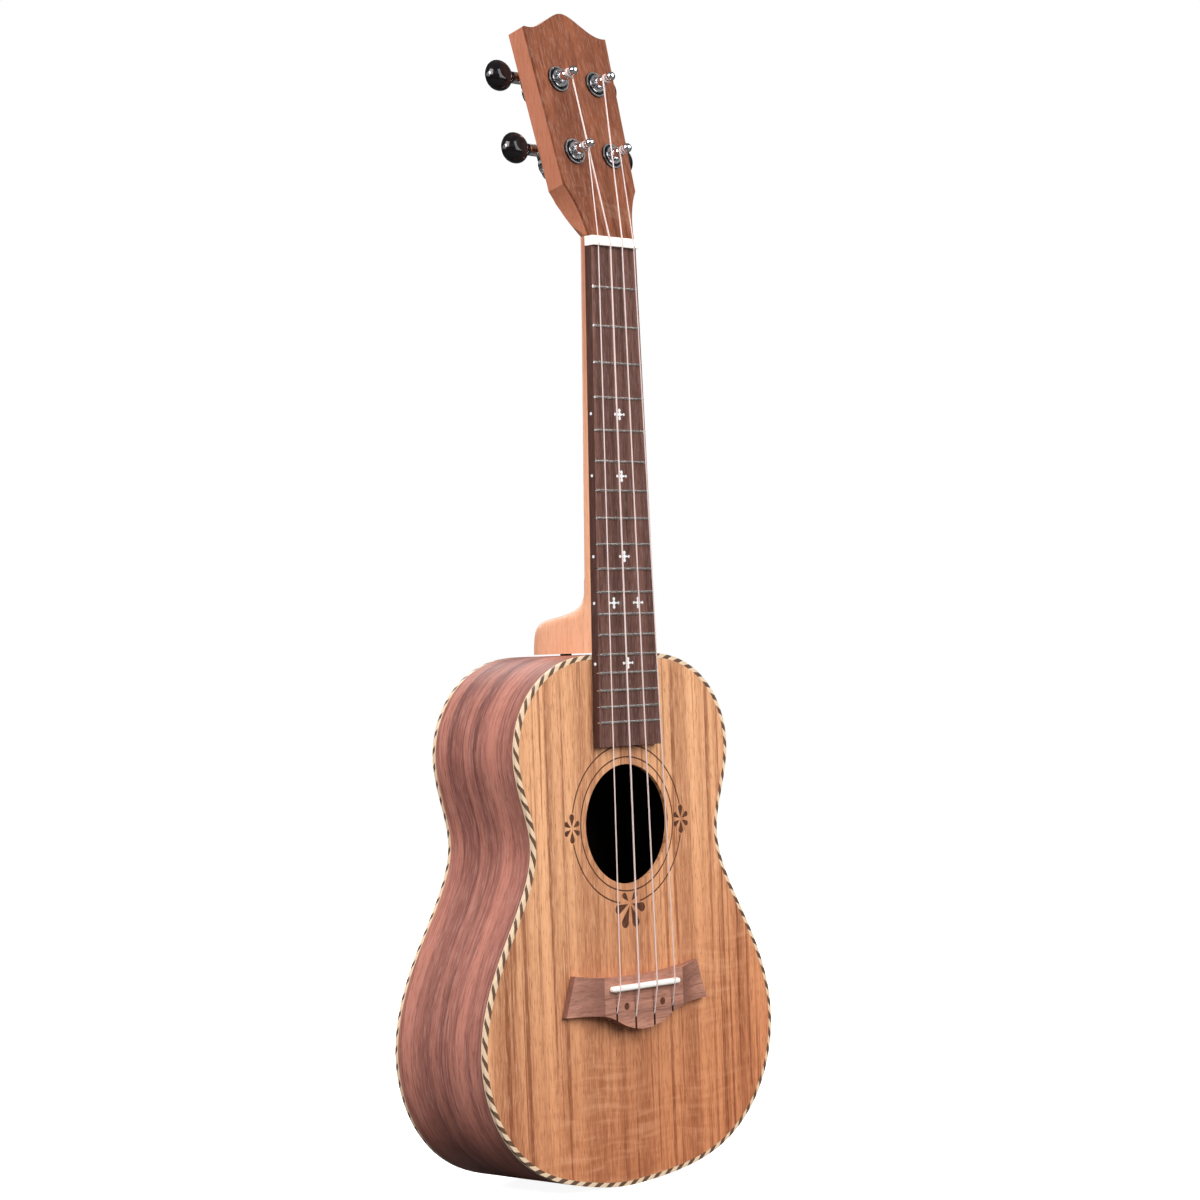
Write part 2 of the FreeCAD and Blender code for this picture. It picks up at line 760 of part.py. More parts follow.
def tuner_bores():
    bores = [post_hole(side * half_posts, along, bushing_hole) for _, side, along in TUNERS]
    for _, side, along in TUNERS:
        start = on_head(side * (half_posts + ear_across), head + 0.5, along + ear_along)
        radius = size("mount_screw_radius") + size("seat_clearance")
        bores.append(Part.makeCylinder(radius, screw_length + 0.5, start, behind_head * -1))
    return bores


neck = shaft.fuse([heel, nut_seat, head_blend, clear_slab])
neck = neck.cut(tuner_bores() + [dowel_holes()]).removeSplitter()
shaped("neck", neck)
veneer_slab = head_slab(head_foot, 0, veneer).common(behind_nut)
shaped("headstock_veneer", veneer_slab.cut(
    [post_hole(side * half_posts, along, bushing_hole) for _, side, along in TUNERS]))
dowels = [rod("neck_dowel_%d" % number, "Sizes.dowel_radius", "Sizes.dowel_length",
              ("0", str(depth), str(dowel_middle - size("dowel_length") / 2)), Vector(0, 0, 1))
          for number, depth in enumerate(dowel_depths)]
dowel_pair = doc.addObject("Part::Compound", "neck_dowels")
dowel_pair.Label = "neck_dowels"
dowel_pair.Links = dowels
keep(dowel_pair)

# Fretboard with its slots and inlays
last_half = board_half_width(board_end)
first_half = board_half_width(0)


def board_prism(near, far, inset=0.0):
    corners = [Vector(-first_half + inset, near, 0), Vector(first_half - inset, near, 0),
               Vector(last_half - inset, near, board_end), Vector(-last_half + inset, near, board_end)]
    return extrusion(Part.makePolygon(corners + corners[:1]), Vector(0, far - near, 0))


FRETS = range(1, int(size("fret_count")) + 1)
tang_half = size("tang_width") / 2


def tang_slot(number):
    return Part.makeBox(80, size("tang_depth"), 2 * tang_half,
                        Vector(-40, board_top, fret_place(number) - tang_half))


def fret(number):
    """One fret: a round crown on a tang, its ends sloping in over the board's edge."""
    z = fret_place(number)
    half, rise = size("fret_width") / 2, size("fret_height")
    reach = board_half_width(z) - size("fret_end_inset")
    arc = Part.Arc(Vector(-40, board_top, z - half), Vector(-40, board_top - rise, z),
                   Vector(-40, board_top, z + half))
    base = Part.LineSegment(Vector(-40, board_top, z + half), Vector(-40, board_top, z - half))
    crown = extrusion(Part.Wire([arc.toShape(), base.toShape()]), Vector(80, 0, 0))
    tang = tang_slot(number).common(board_prism(board_top, 0, 0.2))
    slope = 0.45 * rise
    trim = [Vector(-reach, board_top, z - 5), Vector(reach, board_top, z - 5),
            Vector(reach - slope, board_top - rise, z - 5), Vector(-reach + slope, board_top - rise, z - 5)]
    crown = crown.common(extrusion(Part.makePolygon(trim + trim[:1]), Vector(0, 0, 10)))
    return crown.fuse(tang).removeSplitter()


def marker(across, number):
    """A small pearl cross with round-ended arms, between a fret and the one above it."""
    centre = Vector(across, board_top, (fret_place(number) + fret_place(number - 1)) / 2)
    depth = Vector(0, size("marker_depth"), 0)
    pieces = [Part.makeCylinder(1.15, depth.y, centre, Vector(0, 1, 0))]
    for direction, reach, ball in ((Vector(1, 0, 0), 3.7, 0.75), (Vector(0, 0, 1), 2.6, 0.95)):
        cross = Vector(direction.z, 0, direction.x)
        arm = [centre - direction * reach, centre + cross * 0.75, centre + direction * reach,
               centre - cross * 0.75]
        pieces.append(extrusion(Part.makePolygon(arm + arm[:1]), depth))
        for sign in (-1, 1):
            spot = centre + direction * (sign * (reach - ball * 0.6))
            pieces.append(Part.makeCylinder(ball, depth.y, spot, Vector(0, 1, 0)))
    return fuse(pieces)


def side_dot(number):
    z = (fret_place(number) + fret_place(number - 1)) / 2
    start = Vector(-board_half_width(z) - 0.02, board_top / 2, z)
    return Part.makeCylinder(size("side_dot_radius"), size("side_dot_depth"), start, Vector(1, 0, 0))


markers = []
for number in MARKER_FRETS:
    spread = board_half_width(fret_place(number)) * 0.42
    places = (-spread, spread) if number == DOUBLE_MARKER_FRET else (0,)
    markers += [marker(across, number) for across in places]
board = board_prism(board_top, 0)
dots = [side_dot(number).common(board) for number in MARKER_FRETS]
board = board.cut([tang_slot(number) for number in FRETS] + markers + dots)
shaped("fretboard", board)
shaped("frets", Part.makeCompound([fret(number) for number in FRETS]))
shaped("fret_markers", Part.makeCompound(markers))
shaped("side_dots", Part.makeCompound(dots))

# ---------------------------------------------------------------------------
# Strings: routes first, because the nut, the saddle and the bridge are cut to them
# ---------------------------------------------------------------------------
string_clearance = 0.05
bridge_top = -size("bridge_height")
string_seat = bridge_top - size("string_above_bridge_at_saddle")


class Route:
    """Where one string runs, from its knot in the bridge to its post."""

    def __init__(self, name, step, row):
        self.name = name
        self.radius = size("string_diameter_" + name) / 2
        self.side = -1 if step < 0 else 1
        nut_across = step * size("nut_string_spread") / 6
        saddle_across = step * size("saddle_string_spread") / 6
        self.along = size("upper_post_from_nut") if row == "upper" else size("lower_post_from_nut")
        self.nut = Vector(nut_across, board_top - size("string_above_board_at_nut") - self.radius, 0)
        self.saddle = Vector(saddle_across, string_seat - self.radius, saddle_place)
        reach = size("outer_slot_from_saddle" if abs(step) == 3 else "inner_slot_from_saddle")
        self.entry = Vector(saddle_across * 1.02, bridge_top, saddle_place - reach)
        self.knot = Vector(self.entry.x, -size("knot_radius") - size("knot_above_top"),
                           self.entry.z - size("knot_below_slot"))
        lean = -self.side * (size("post_waist_radius") + self.radius + string_clearance)
        self.wrap_pitch = 1.9 * self.radius
        self.wrap_height = size("post_string_height") - self.wrap_pitch / 2
        self.wrap_radius = abs(lean)
        self.post = on_head(self.side * half_posts + lean, -self.wrap_height, self.along)
        self.nut_back = self.nut + (self.post - self.nut) * (nut_back / self.post.z)
        self.nut_back.y = self.nut.y + 0.25


def tube(points, radius, bend):
    """A round cord along straight runs joined by arcs of radius bend."""
    edges = []
    start = points[0]
    for before, here, after in zip(points, points[1:], points[2:]):
        inwards = (before - here).normalize()
        outwards = (after - here).normalize()
        half_turn = (math.pi - inwards.getAngle(outwards)) / 2
        back_off = bend * math.tan(half_turn)
        first, last = here + inwards * back_off, here + outwards * back_off
        centre_way = (inwards + outwards).normalize()
        centre = here + centre_way * (bend / math.cos(half_turn))
        edges.append(Part.LineSegment(start, first).toShape())
        edges.append(Part.Arc(first, centre - centre_way * bend, last).toShape())
        start = last
    edges.append(Part.LineSegment(start, points[-1]).toShape())
    path = Part.Wire(edges)
    profile = Part.Wire([Part.Circle(points[0], points[1] - points[0], radius).toShape()])
    return path.makePipeShell([profile], True, False)


ROUTES = [Route(name, step, row) for name, step, row, _ in STRINGS]


def string_solid(route):
    run = tube([route.knot, route.entry, route.saddle, route.nut, route.nut_back, route.post],
               route.radius, 1.2)
    post_middle = on_head(route.side * half_posts, 0, route.along)
    wraps = []
    for turn in (0, 1):
        centre = post_middle - behind_head * (route.wrap_height + route.wrap_pitch * turn)
        wraps.append(Part.makeTorus(route.wrap_radius, route.radius, centre, behind_head))
    knot = Part.makeSphere(size("knot_radius") - size("knot_clearance"), route.knot)
    return fuse([run] + wraps + [knot])


for route in ROUTES:
    shaped("string_" + route.name, string_solid(route))

# Nut and saddle, each grooved where the strings cross it
GROOVE_OPENING = Vector(0, -3, 0)
GROOVE_RUN = 8
nut_top = board_top - size("nut_above_board")
nut_corners = [Vector(-foot_half, 0, 0), Vector(-foot_half, nut_top, 0),
               Vector(-foot_half, nut_top - size("nut_crown_rise"), size("nut_crown_setback")),
               Vector(-foot_half, nut_top + size("nut_back_drop"), nut_back), Vector(-foot_half, 0, nut_back)]
nut = extrusion(Part.makePolygon(nut_corners + nut_corners[:1]), Vector(2 * foot_half, 0, 0))
for route in ROUTES:
    groove = route.radius + string_clearance
    stretch = [route.nut + (route.saddle - route.nut) * 0.01, route.nut, route.nut_back,
               route.nut_back + (route.post - route.nut_back) * 0.1]
    for start, finish in zip(stretch, stretch[1:]):
        way = finish - start
        nut = nut.cut(Part.makeCylinder(groove, way.Length, start, way))
        corners = [start - Vector(groove, 0, 0), start + Vector(groove, 0, 0),
                   finish + Vector(groove, 0, 0), finish - Vector(groove, 0, 0)]
        nut = nut.cut(extrusion(Part.makePolygon(corners + corners[:1]), GROOVE_OPENING))
    nut = nut.cut(Part.makeSphere(groove, route.nut)).cut(Part.makeSphere(groove, route.nut_back))
shaped("nut", nut)

saddle_half = size("saddle_length") / 2
saddle_wide = size("saddle_width") / 2
slot_floor = bridge_top + size("saddle_slot_depth")


def stadium(half_length, half_width, near, far, z):
    """A round-ended bar across the bridge."""
    straight = half_length - half_width
    low, high = z - half_width, z + half_width
    edges = [
        Part.LineSegment(Vector(-straight, near, low), Vector(straight, near, low)),
        Part.Arc(Vector(straight, near, low), Vector(half_length, near, z), Vector(straight, near, high)),
        Part.LineSegment(Vector(straight, near, high), Vector(-straight, near, high)),
        Part.Arc(Vector(-straight, near, high), Vector(-half_length, near, z), Vector(-straight, near, low)),
    ]
    return extrusion(Part.Wire([edge.toShape() for edge in edges]), Vector(0, far - near, 0))


saddle_crest = string_seat - size("saddle_groove_depth")
saddle = stadium(saddle_half, saddle_wide, saddle_crest, slot_floor, saddle_place)
crest_edges = [edge for edge in saddle.Edges if abs(edge.BoundBox.YMax - saddle_crest) < 1e-6]
saddle = saddle.makeFillet(saddle_wide * 0.8, crest_edges)
for route in ROUTES:
    groove = route.radius + string_clearance
    for finish in (route.entry, route.nut):
        way = (finish - route.saddle).normalize() * GROOVE_RUN
        saddle = saddle.cut(Part.makeCylinder(groove, GROOVE_RUN, route.saddle, way))
        flank = Vector(groove, 0, 0)
        corners = [route.saddle - flank, route.saddle + flank, route.saddle + way + flank,
                   route.saddle + way - flank]
        saddle = saddle.cut(extrusion(Part.makePolygon(corners + corners[:1]), GROOVE_OPENING))
    saddle = saddle.cut(Part.makeSphere(groove, route.saddle))
shaped("saddle", saddle)

# ---------------------------------------------------------------------------
# Bridge
# ---------------------------------------------------------------------------
block_half_width = size("bridge_block_width") / 2
top_half = size("bridge_top_width") / 2
bottom_half = size("bridge_bottom_width") / 2
head_edge = saddle_place + size("bridge_above_saddle")
foot_edge = saddle_place - size("bridge_below_saddle")
belly = foot_edge - size("bridge_belly")


def bridge_plan():
    """The bridge seen from the front: a hollow upper edge and a round belly."""
    hollow = size("bridge_hollow")
    corner = foot_edge + size("bridge_foot_lift")
    upper = open_curve([Vector(-top_half, 0, head_edge), Vector(-0.5 * top_half, 0, head_edge - 0.8 * hollow),
                        Vector(0, 0, head_edge - hollow), Vector(0.5 * top_half, 0, head_edge - 0.8 * hollow),
                        Vector(top_half, 0, head_edge)])
    bulge = foot_edge - belly
    lower = open_curve([Vector(bottom_half, 0, corner), Vector(0.72 * bottom_half, 0, foot_edge - 0.2),
                        Vector(0.50 * bottom_half, 0, foot_edge - 0.18 * bulge),
                        Vector(0.26 * bottom_half, 0, foot_edge - 0.74 * bulge), Vector(0, 0, belly),
                        Vector(-0.26 * bottom_half, 0, foot_edge - 0.74 * bulge),
                        Vector(-0.50 * bottom_half, 0, foot_edge - 0.18 * bulge),
                        Vector(-0.72 * bottom_half, 0, foot_edge - 0.2),
                        Vector(-bottom_half, 0, corner)])
    right = Part.LineSegment(Vector(top_half, 0, head_edge), Vector(bottom_half, 0, corner))
    left = Part.LineSegment(Vector(-bottom_half, 0, corner), Vector(-top_half, 0, head_edge))
    return Part.Wire([upper.toShape(), right.toShape(), lower.toShape(), left.toShape()])


def bridge_arch():
    """The bridge seen from its end of the body: thin wings scooped up to the centre block."""
    wing = -size("bridge_wing_height")
    reach = bottom_half + 1
    scoop = block_half_width + 0.45 * (reach - block_half_width)
    low = wing + 0.22 * (bridge_top - wing)
    edges = [Part.LineSegment(Vector(-reach, 0, 0), Vector(-reach, wing, 0)),
             Part.Arc(Vector(-reach, wing, 0), Vector(-scoop, low, 0), Vector(-block_half_width, bridge_top, 0)),
             Part.LineSegment(Vector(-block_half_width, bridge_top, 0), Vector(block_half_width, bridge_top, 0)),
             Part.Arc(Vector(block_half_width, bridge_top, 0), Vector(scoop, low, 0), Vector(reach, wing, 0)),
             Part.LineSegment(Vector(reach, wing, 0), Vector(reach, 0, 0)),
             Part.LineSegment(Vector(reach, 0, 0), Vector(-reach, 0, 0))]
    wire = Part.Wire([edge.toShape() for edge in edges])
    wire.translate(Vector(0, 0, belly - 5))
    return extrusion(wire, Vector(0, 0, head_edge - belly + 10))


bridge = extrusion(bridge_plan(), Vector(0, 2 * bridge_top, 0)).common(bridge_arch())
slot_half = size("string_slot_width") / 2
above_bridge = bridge_top - BEYOND
bridge = bridge.cut(stadium(saddle_half, saddle_wide, above_bridge, slot_floor, saddle_place))
for route in ROUTES:
    length = route.entry.z + size("string_slot_overrun") - (belly - 2)
    slot = Part.makeBox(2 * slot_half, -size("string_slot_floor") - above_bridge, length,
                        Vector(route.entry.x - slot_half, above_bridge, belly - 2))
    pocket = Part.makeCylinder(size("knot_radius"), route.knot.z - belly + 4,
                               Vector(route.knot.x, route.knot.y, belly - 2), Vector(0, 0, 1))
    bridge = bridge.cut([slot, pocket])
plug_z = saddle_place - size("plug_below_saddle")
plug_spots = [Vector(side * size("plug_spacing") / 2, bridge_top, plug_z) for side in (-1, 1)]
plugs = [Part.makeCylinder(size("plug_radius"), size("plug_depth"), spot, Vector(0, 1, 0)) for spot in plug_spots]
bridge = bridge.cut(plugs)
shaped("bridge", bridge)
shaped("bridge_plugs", Part.makeCompound(plugs))

# ---------------------------------------------------------------------------
# Tuners.  Each is drawn about its post: local X across the head, local Y behind the face
# and local Z along the head.
# ---------------------------------------------------------------------------
shaft_depth = head + size("tuner_plate_thickness") + size("shaft_behind_plate")
wheel_radius = size("gear_module") * size("wheel_teeth") / 2
gear_distance = wheel_radius + size("worm_pitch_radius")
lead = math.pi * size("gear_module")
gap = size("running_clearance")
plate_back = head + size("tuner_plate_thickness")
wheel_half = size("wheel_thickness") / 2
tail_end = shaft_depth + wheel_half + size("post_tail_length")
worm_half = size("worm_turns") * lead / 2
shaft_seat = worm_half + size("worm_shoulder")
housing_back = tail_end + size("housing_back_wall")
barrel_half = shaft_seat + size("shaft_end_gap")
drum_inner = wheel_radius + size("wheel_room")
barrel_inner = size("worm_pitch_radius") + size("worm_room")
button_foot = size("housing_reach") + size("button_gap")
button_end = button_foot + size("button_length")
screw_seat = button_end - size("button_screw_sink")
tip_end = button_end - size("tip_short_of_button_end")
to_depth = Rotation(Vector(0, 0, 1), Vector(0, 1, 0))


def at_tuner(side, along):
    return Placement(on_head(side * half_posts, 0, along), head_turn)


def post_body(label, side, along):
    """The string post, from its journal in the housing up to the ball on top."""
    height = "Sizes.post_string_height"
    tail_of_post = "Sizes.wheel_thickness / 2 + Sizes.post_tail_length"
    ball_seat = "%s + Sizes.post_waist_height / 2" % height
    foot = "(Sizes.head_thickness + Sizes.tuner_plate_thickness + Sizes.shaft_behind_plate + %s)" % tail_of_post
    step = "(%s + Sizes.wheel_thickness / 2)" % tail_of_post
    waist_foot = "%s + %s - Sizes.post_waist_height / 2" % (foot, height)
    profile = [
        ("0", "0"), ("Sizes.post_tail_radius", "0"), ("Sizes.post_tail_radius", step),
        ("Sizes.post_radius", step), ("Sizes.post_radius", waist_foot + " - 0.5"),
        ("Sizes.post_radius - 0.3", waist_foot), ("Sizes.post_waist_radius", waist_foot + " + 0.15"),
        ("Sizes.post_waist_radius", "%s + %s + 1" % (foot, ball_seat)), ("0", "%s + %s + 1" % (foot, ball_seat)),
    ]
    body = turned(label, profile, Placement())
    ball = body.newObject("PartDesign::AdditiveSphere", label + "_ball")
    ball.setExpression("Radius", "Sizes.post_ball_radius")
    ball.AttachmentSupport = [(origin_plane(body, "XY_Plane"), "")]
    ball.MapMode = "FlatFace"
    ball.AttachmentOffset = Placement(Vector(0, 0, 1), Rotation())
    ball.setExpression(".AttachmentOffset.Base.z",
                       "%s + %s + Sizes.post_ball_radius * 0.8" % (foot, ball_seat))
    body.Tip = ball
    # the body's +Z becomes the way out of the face, and its foot stands in the housing
    local = Placement(Vector(0, tail_end, 0), Rotation(Vector(1, 0, 0), 90))
    body.Placement = at_tuner(side, along).multiply(local)
    return keep(body)


def gear_wheel():
    """A toothed wheel about local Y, with a tooth gap facing the worm."""
    teeth = int(size("wheel_teeth"))
    module = size("gear_module")
    tip, root = wheel_radius + 0.6 * module, wheel_radius - 1.0 * module
    pitch_angle = 2 * math.pi / teeth
    tip_share, root_share = 0.13, 0.24
    points = []
    for tooth in range(teeth):
        middle = math.pi / 2 + (tooth + 0.5) * pitch_angle
        for radius, turn in ((root, -root_share), (tip, -tip_share), (tip, tip_share), (root, root_share)):
            angle = middle + turn * pitch_angle
            points.append(Vector(radius * math.cos(angle), shaft_depth - wheel_half, radius * math.sin(angle)))
    wheel = extrusion(Part.makePolygon(points + points[:1]), Vector(0, 2 * wheel_half, 0))
    bore = Part.makeCylinder(size("post_tail_radius") + size("seat_clearance"), 4 * wheel_half,
                             Vector(0, shaft_depth - 2 * wheel_half, 0), Vector(0, 1, 0))
    return wheel.cut(bore)


def worm_thread():
    """A right-hand thread about local X, centred on the post, one turn per wheel tooth."""
    module = size("gear_module")
    crest_radius = size("worm_pitch_radius") + 0.6 * module
    root_radius = size("worm_core_radius") - 0.15
    turns = int(size("worm_turns"))
    helix = Part.makeHelix(lead, turns * lead, root_radius)
    root_half, crest_half = 0.27 * lead, 0.12 * lead
    corners = [Vector(root_radius, 0, -root_half), Vector(crest_radius, 0, -crest_half),
               Vector(crest_radius, 0, crest_half), Vector(root_radius, 0, root_half)]
    profile = Part.makePolygon(corners + corners[:1])
    thread = Part.Wire(helix.Edges).makePipeShell([profile], True, True)
    # a whole number of turns: the thread's middle crosses the wheel side at the worm's middle
    thread.translate(Vector(0, 0, -turns * lead / 2))
    thread.rotate(Vector(0, 0, 0), Vector(0, 1, 0), 90)
    return thread


screw_run = size("button_screw_length") + 0.8
screw_foot = screw_seat - screw_run


def worm_shaft(side):
    """Inner journal, worm, shaft and the thin tip that holds the button."""
    centre = Vector(0, shaft_depth, gear_distance)
    outwards = Vector(side, 0, 0)
    step = size("housing_reach") + size("shaft_step_gap")
    runs = (
        (-shaft_seat - size("inner_journal_length"), -shaft_seat, size("shaft_tip_radius")),
        (-shaft_seat, shaft_seat, size("worm_core_radius")),
        (shaft_seat, step, size("shaft_radius")),
        (step, tip_end, size("shaft_tip_radius")),
    )
    rods = [Part.makeCylinder(radius, finish - start, centre + outwards * start, outwards)
            for start, finish, radius in runs]
    thread = worm_thread()
    thread.translate(centre)
    screw = Part.makeCylinder(size("button_screw_radius"), screw_run, centre + outwards * screw_foot, outwards)
    return fuse(rods + [thread]).cut(screw)


def button(side):
    """An egg-shaped button, pressed in a little on both faces, with a collar at the shaft."""
    middle = button_foot + size("button_length") / 2
    half_length, half_height = size("button_length") / 2, size("button_height") / 2
    half_thick = size("button_thickness") / 2
    centre = Vector(side * middle, shaft_depth, gear_distance)
    body = Part.makeSphere(1.0, Vector(0, 0, 0), Vector(0, 1, 0))
    stretch = FreeCAD.Matrix()
    stretch.scale(half_length, half_thick, half_height)
    body = body.transformGeometry(stretch)
    body.translate(centre)
    pressed = 0.88 * half_thick
    press = Part.makeBox(2 * half_length, 2 * pressed, 2 * half_height)
    press.translate(centre - Vector(half_length, pressed, half_height))
    body = body.common(press)
    collar = size("button_collar_radius")
    outwards = Vector(side, 0, 0)

    def bore(radius, start, finish):
        spot = Vector(side * start, shaft_depth, gear_distance)
        return Part.makeCylinder(radius, finish - start, spot, outwards)

    foot = Vector(side * button_foot, shaft_depth, gear_distance)
    body = body.fuse(Part.makeCone(collar, 0.87 * collar, size("button_collar_length"), foot, outwards))
    tip = bore(size("shaft_tip_radius"), button_foot - 1, tip_end)
    recess = bore(size("button_screw_head_radius") + 0.15, screw_seat, button_end + 1)
    shank = bore(size("button_screw_radius"), screw_foot, button_end)
    return body.cut([tip, recess, shank])


def button_screw_body(label, side, along):
    """The screw in the button's outer end, turned about its own axis."""
    head_radius, shank = "Sizes.button_screw_head_radius", "Sizes.button_screw_radius"
    seat = "Sizes.button_screw_length"
    profile = [("0", "0"), (shank, "0"), (shank, seat), (head_radius, seat), (head_radius, seat + " + 0.7"),
               (head_radius + " * 0.6", seat + " + 1.1"), ("0", seat + " + 1.1")]
    start = screw_seat - size("button_screw_length")
    local = Placement(Vector(side * start, shaft_depth, gear_distance),
                      Rotation(Vector(0, 0, 1), Vector(side, 0, 0)))
    body = turned(label, profile, at_tuner(side, along).multiply(local))
    return keep(body)


arm_half = size("ear_radius") - size("ear_arm_inset")
ear_hole = size("mount_screw_radius") + 0.1


def housing(side):
    """The closed cover behind the head: a drum over the wheel, a barrel over the worm,
    a sleeve round the shaft and one ear for its screw."""
    wall_thick = size("housing_wall")
    y_axis = Vector(0, 1, 0)
    depth = housing_back - plate_back
    foot = Vector(0, plate_back, 0)
    outwards = Vector(side, 0, 0)
    centre = Vector(0, shaft_depth, gear_distance)
    drum = Part.makeCylinder(drum_inner + wall_thick, depth, foot, y_axis)
    barrel_wide = 2 * (barrel_half + wall_thick)
    barrel = Part.makeBox(barrel_wide, depth, barrel_inner + wall_thick + gear_distance,
                          Vector(-barrel_wide / 2, plate_back, 0))
    upright = [edge for edge in barrel.Edges if edge.BoundBox.YLength > depth - 0.01 and edge.BoundBox.ZMin > 1]
    barrel = barrel.makeFillet(size("housing_corner_radius"), upright)
    sleeve = Part.makeCylinder(size("sleeve_radius"), size("housing_reach") - 2, centre + outwards * 2, outwards)
    ear_spot = Vector(side * ear_across, plate_back, ear_along)
    ear = Part.makeCylinder(size("ear_radius"), size("ear_thickness"), ear_spot, y_axis)
    arm = Part.makeBox(size("ear_reach"), size("ear_thickness"), 2 * arm_half,
                       Vector(0, plate_back, -arm_half))
    arm.rotate(foot, y_axis, -math.degrees(math.atan2(ear_along, side * ear_across)))
    outside = fuse([drum, barrel, sleeve, ear, arm])
    back_rim = [edge for edge in outside.Edges
                if edge.BoundBox.YMin > housing_back - 0.01 and edge.BoundBox.YMax < housing_back + 0.01]
    outside = outside.makeFillet(size("housing_rim_radius"), back_rim)
    wheel_room = Part.makeCylinder(drum_inner, tail_end - 1.0 - plate_back + 0.3, foot - y_axis * 0.3, y_axis)
    worm_room = Part.makeBox(2 * barrel_half, barrel_inner + shaft_depth - plate_back + 0.3, 2 * barrel_inner,
                             Vector(-barrel_half, plate_back - 0.3, gear_distance - barrel_inner))
    journal = Part.makeCylinder(size("post_tail_radius") + gap, tail_end + 0.15 - plate_back, foot, y_axis)
    shaft_bore = Part.makeCylinder(size("shaft_radius") + gap, size("housing_reach") + 1, centre, outwards)
    inner_run = shaft_seat + size("inner_journal_length") + size("shaft_end_gap")
    inner_bore = Part.makeCylinder(size("shaft_tip_radius") + gap, inner_run, centre, outwards * -1)
    screw_hole = Part.makeCylinder(ear_hole, size("ear_thickness") + 4, ear_spot - y_axis, y_axis)
    return outside.cut([wheel_room, worm_room, journal, shaft_bore, inner_bore, screw_hole])


def tuner_plate(side):
    """The thin plate between the head and the housing."""
    thick = size("tuner_plate_thickness")
    foot = Vector(0, head, 0)
    y_axis = Vector(0, 1, 0)
    wall_thick = size("housing_wall")
    drum = Part.makeCylinder(drum_inner + wall_thick, thick, foot, y_axis)
    barrel_wide = 2 * (barrel_half + wall_thick)
    barrel = Part.makeBox(barrel_wide, thick, gear_distance + barrel_inner + wall_thick,
                          Vector(-barrel_wide / 2, head, 0))
    corner_edges = [edge for edge in barrel.Edges if edge.BoundBox.YLength > thick - 0.01 and edge.BoundBox.ZMin > 1]
    barrel = barrel.makeFillet(size("housing_corner_radius"), corner_edges)
    ear_spot = Vector(side * ear_across, head, ear_along)
    ear = Part.makeCylinder(size("ear_radius"), thick, ear_spot, y_axis)
    arm = Part.makeBox(size("ear_reach"), thick, 2 * arm_half, Vector(0, head, -arm_half))
    arm.rotate(foot, y_axis, -math.degrees(math.atan2(ear_along, side * ear_across)))
    bores = [Part.makeCylinder(size("post_radius") + 0.15, 4 * thick, foot - y_axis * thick, y_axis),
             Part.makeCylinder(ear_hole, 4 * thick, ear_spot - y_axis * thick, y_axis)]
    return fuse([drum, barrel, ear, arm]).cut(bores)


bushings, washers, screws, tuner_plates = [], [], [], []
for name, side, along in TUNERS:
    place = at_tuner(side, along)
    post_body("post_" + name, side, along)
    shaped("wheel_" + name, gear_wheel(), place)
    shaped("worm_" + name, worm_shaft(side), place)
    shaped("button_" + name, button(side), place)
    button_screw_body("button_screw_" + name, side, along)
    shaped("housing_" + name, housing(side), place)

    tuner_plate_piece = doc.addObject("Part::Feature", "tuner_plate_" + name)
    tuner_plate_piece.Shape = tuner_plate(side)
    tuner_plate_piece.Placement = place
    tuner_plates.append(tuner_plate_piece)

    bore = "Sizes.post_radius + Sizes.running_clearance"
    collar = "Sizes.bushing_collar_radius"
    low = "Sizes.head_thickness"
    rise = low + " + Sizes.washer_height * 0.5"
    crown = rise + " + Sizes.bushing_collar_height"
    profile = [(bore, "0"), ("Sizes.bushing_radius", "0"), ("Sizes.bushing_radius", rise), (collar, rise),
               (collar, crown + " - 0.4"), (collar + " - 0.4", crown), (collar + " - 1.1", crown),
               (bore, crown + " - 0.8")]
    out_of_face = place.multiply(Placement(Vector(0, head, 0), Rotation(Vector(1, 0, 0), 90)))
    bushings.append(turned("post_bushing_" + name, profile, out_of_face))

    rim = "Sizes.washer_radius"
    high = "Sizes.washer_height"
    profile = [("Sizes.bushing_radius", "0"), (rim, "0"), (rim, high + " - 0.3"), (rim + " - 0.3", high),
               (rim + " - 0.7", high), (rim + " - 1.5", high + " * 0.5"),
               ("Sizes.bushing_radius", high + " * 0.5")]
    washers.append(turned("post_washer_" + name, profile,
                          place.multiply(Placement(Vector(0, 0, 0), Rotation(Vector(1, 0, 0), 90)))))

    shank, pan = "Sizes.mount_screw_radius", "Sizes.mount_screw_head_radius"
    neck_of_screw = "(Sizes.mount_screw_length + Sizes.tuner_plate_thickness + Sizes.ear_thickness)"
    profile = [("0", "0"), (shank, "0.8"), (shank, neck_of_screw), (pan, neck_of_screw),
               (pan, neck_of_screw + " + 0.7"), (pan + " * 0.6", neck_of_screw + " + 1.3"),
               ("0", neck_of_screw + " + 1.3")]
    spot = Placement(Vector(side * ear_across, head - screw_length, ear_along), to_depth)
    screws.append(turned("tuner_screw_" + name, profile, place.multiply(spot)))

for label, members in (("post_bushings", bushings), ("post_washers", washers), ("tuner_screws", screws),
                       ("tuner_plates", tuner_plates)):
    group = doc.addObject("Part::Compound", label)
    group.Label = label
    group.Links = members
    keep(group)

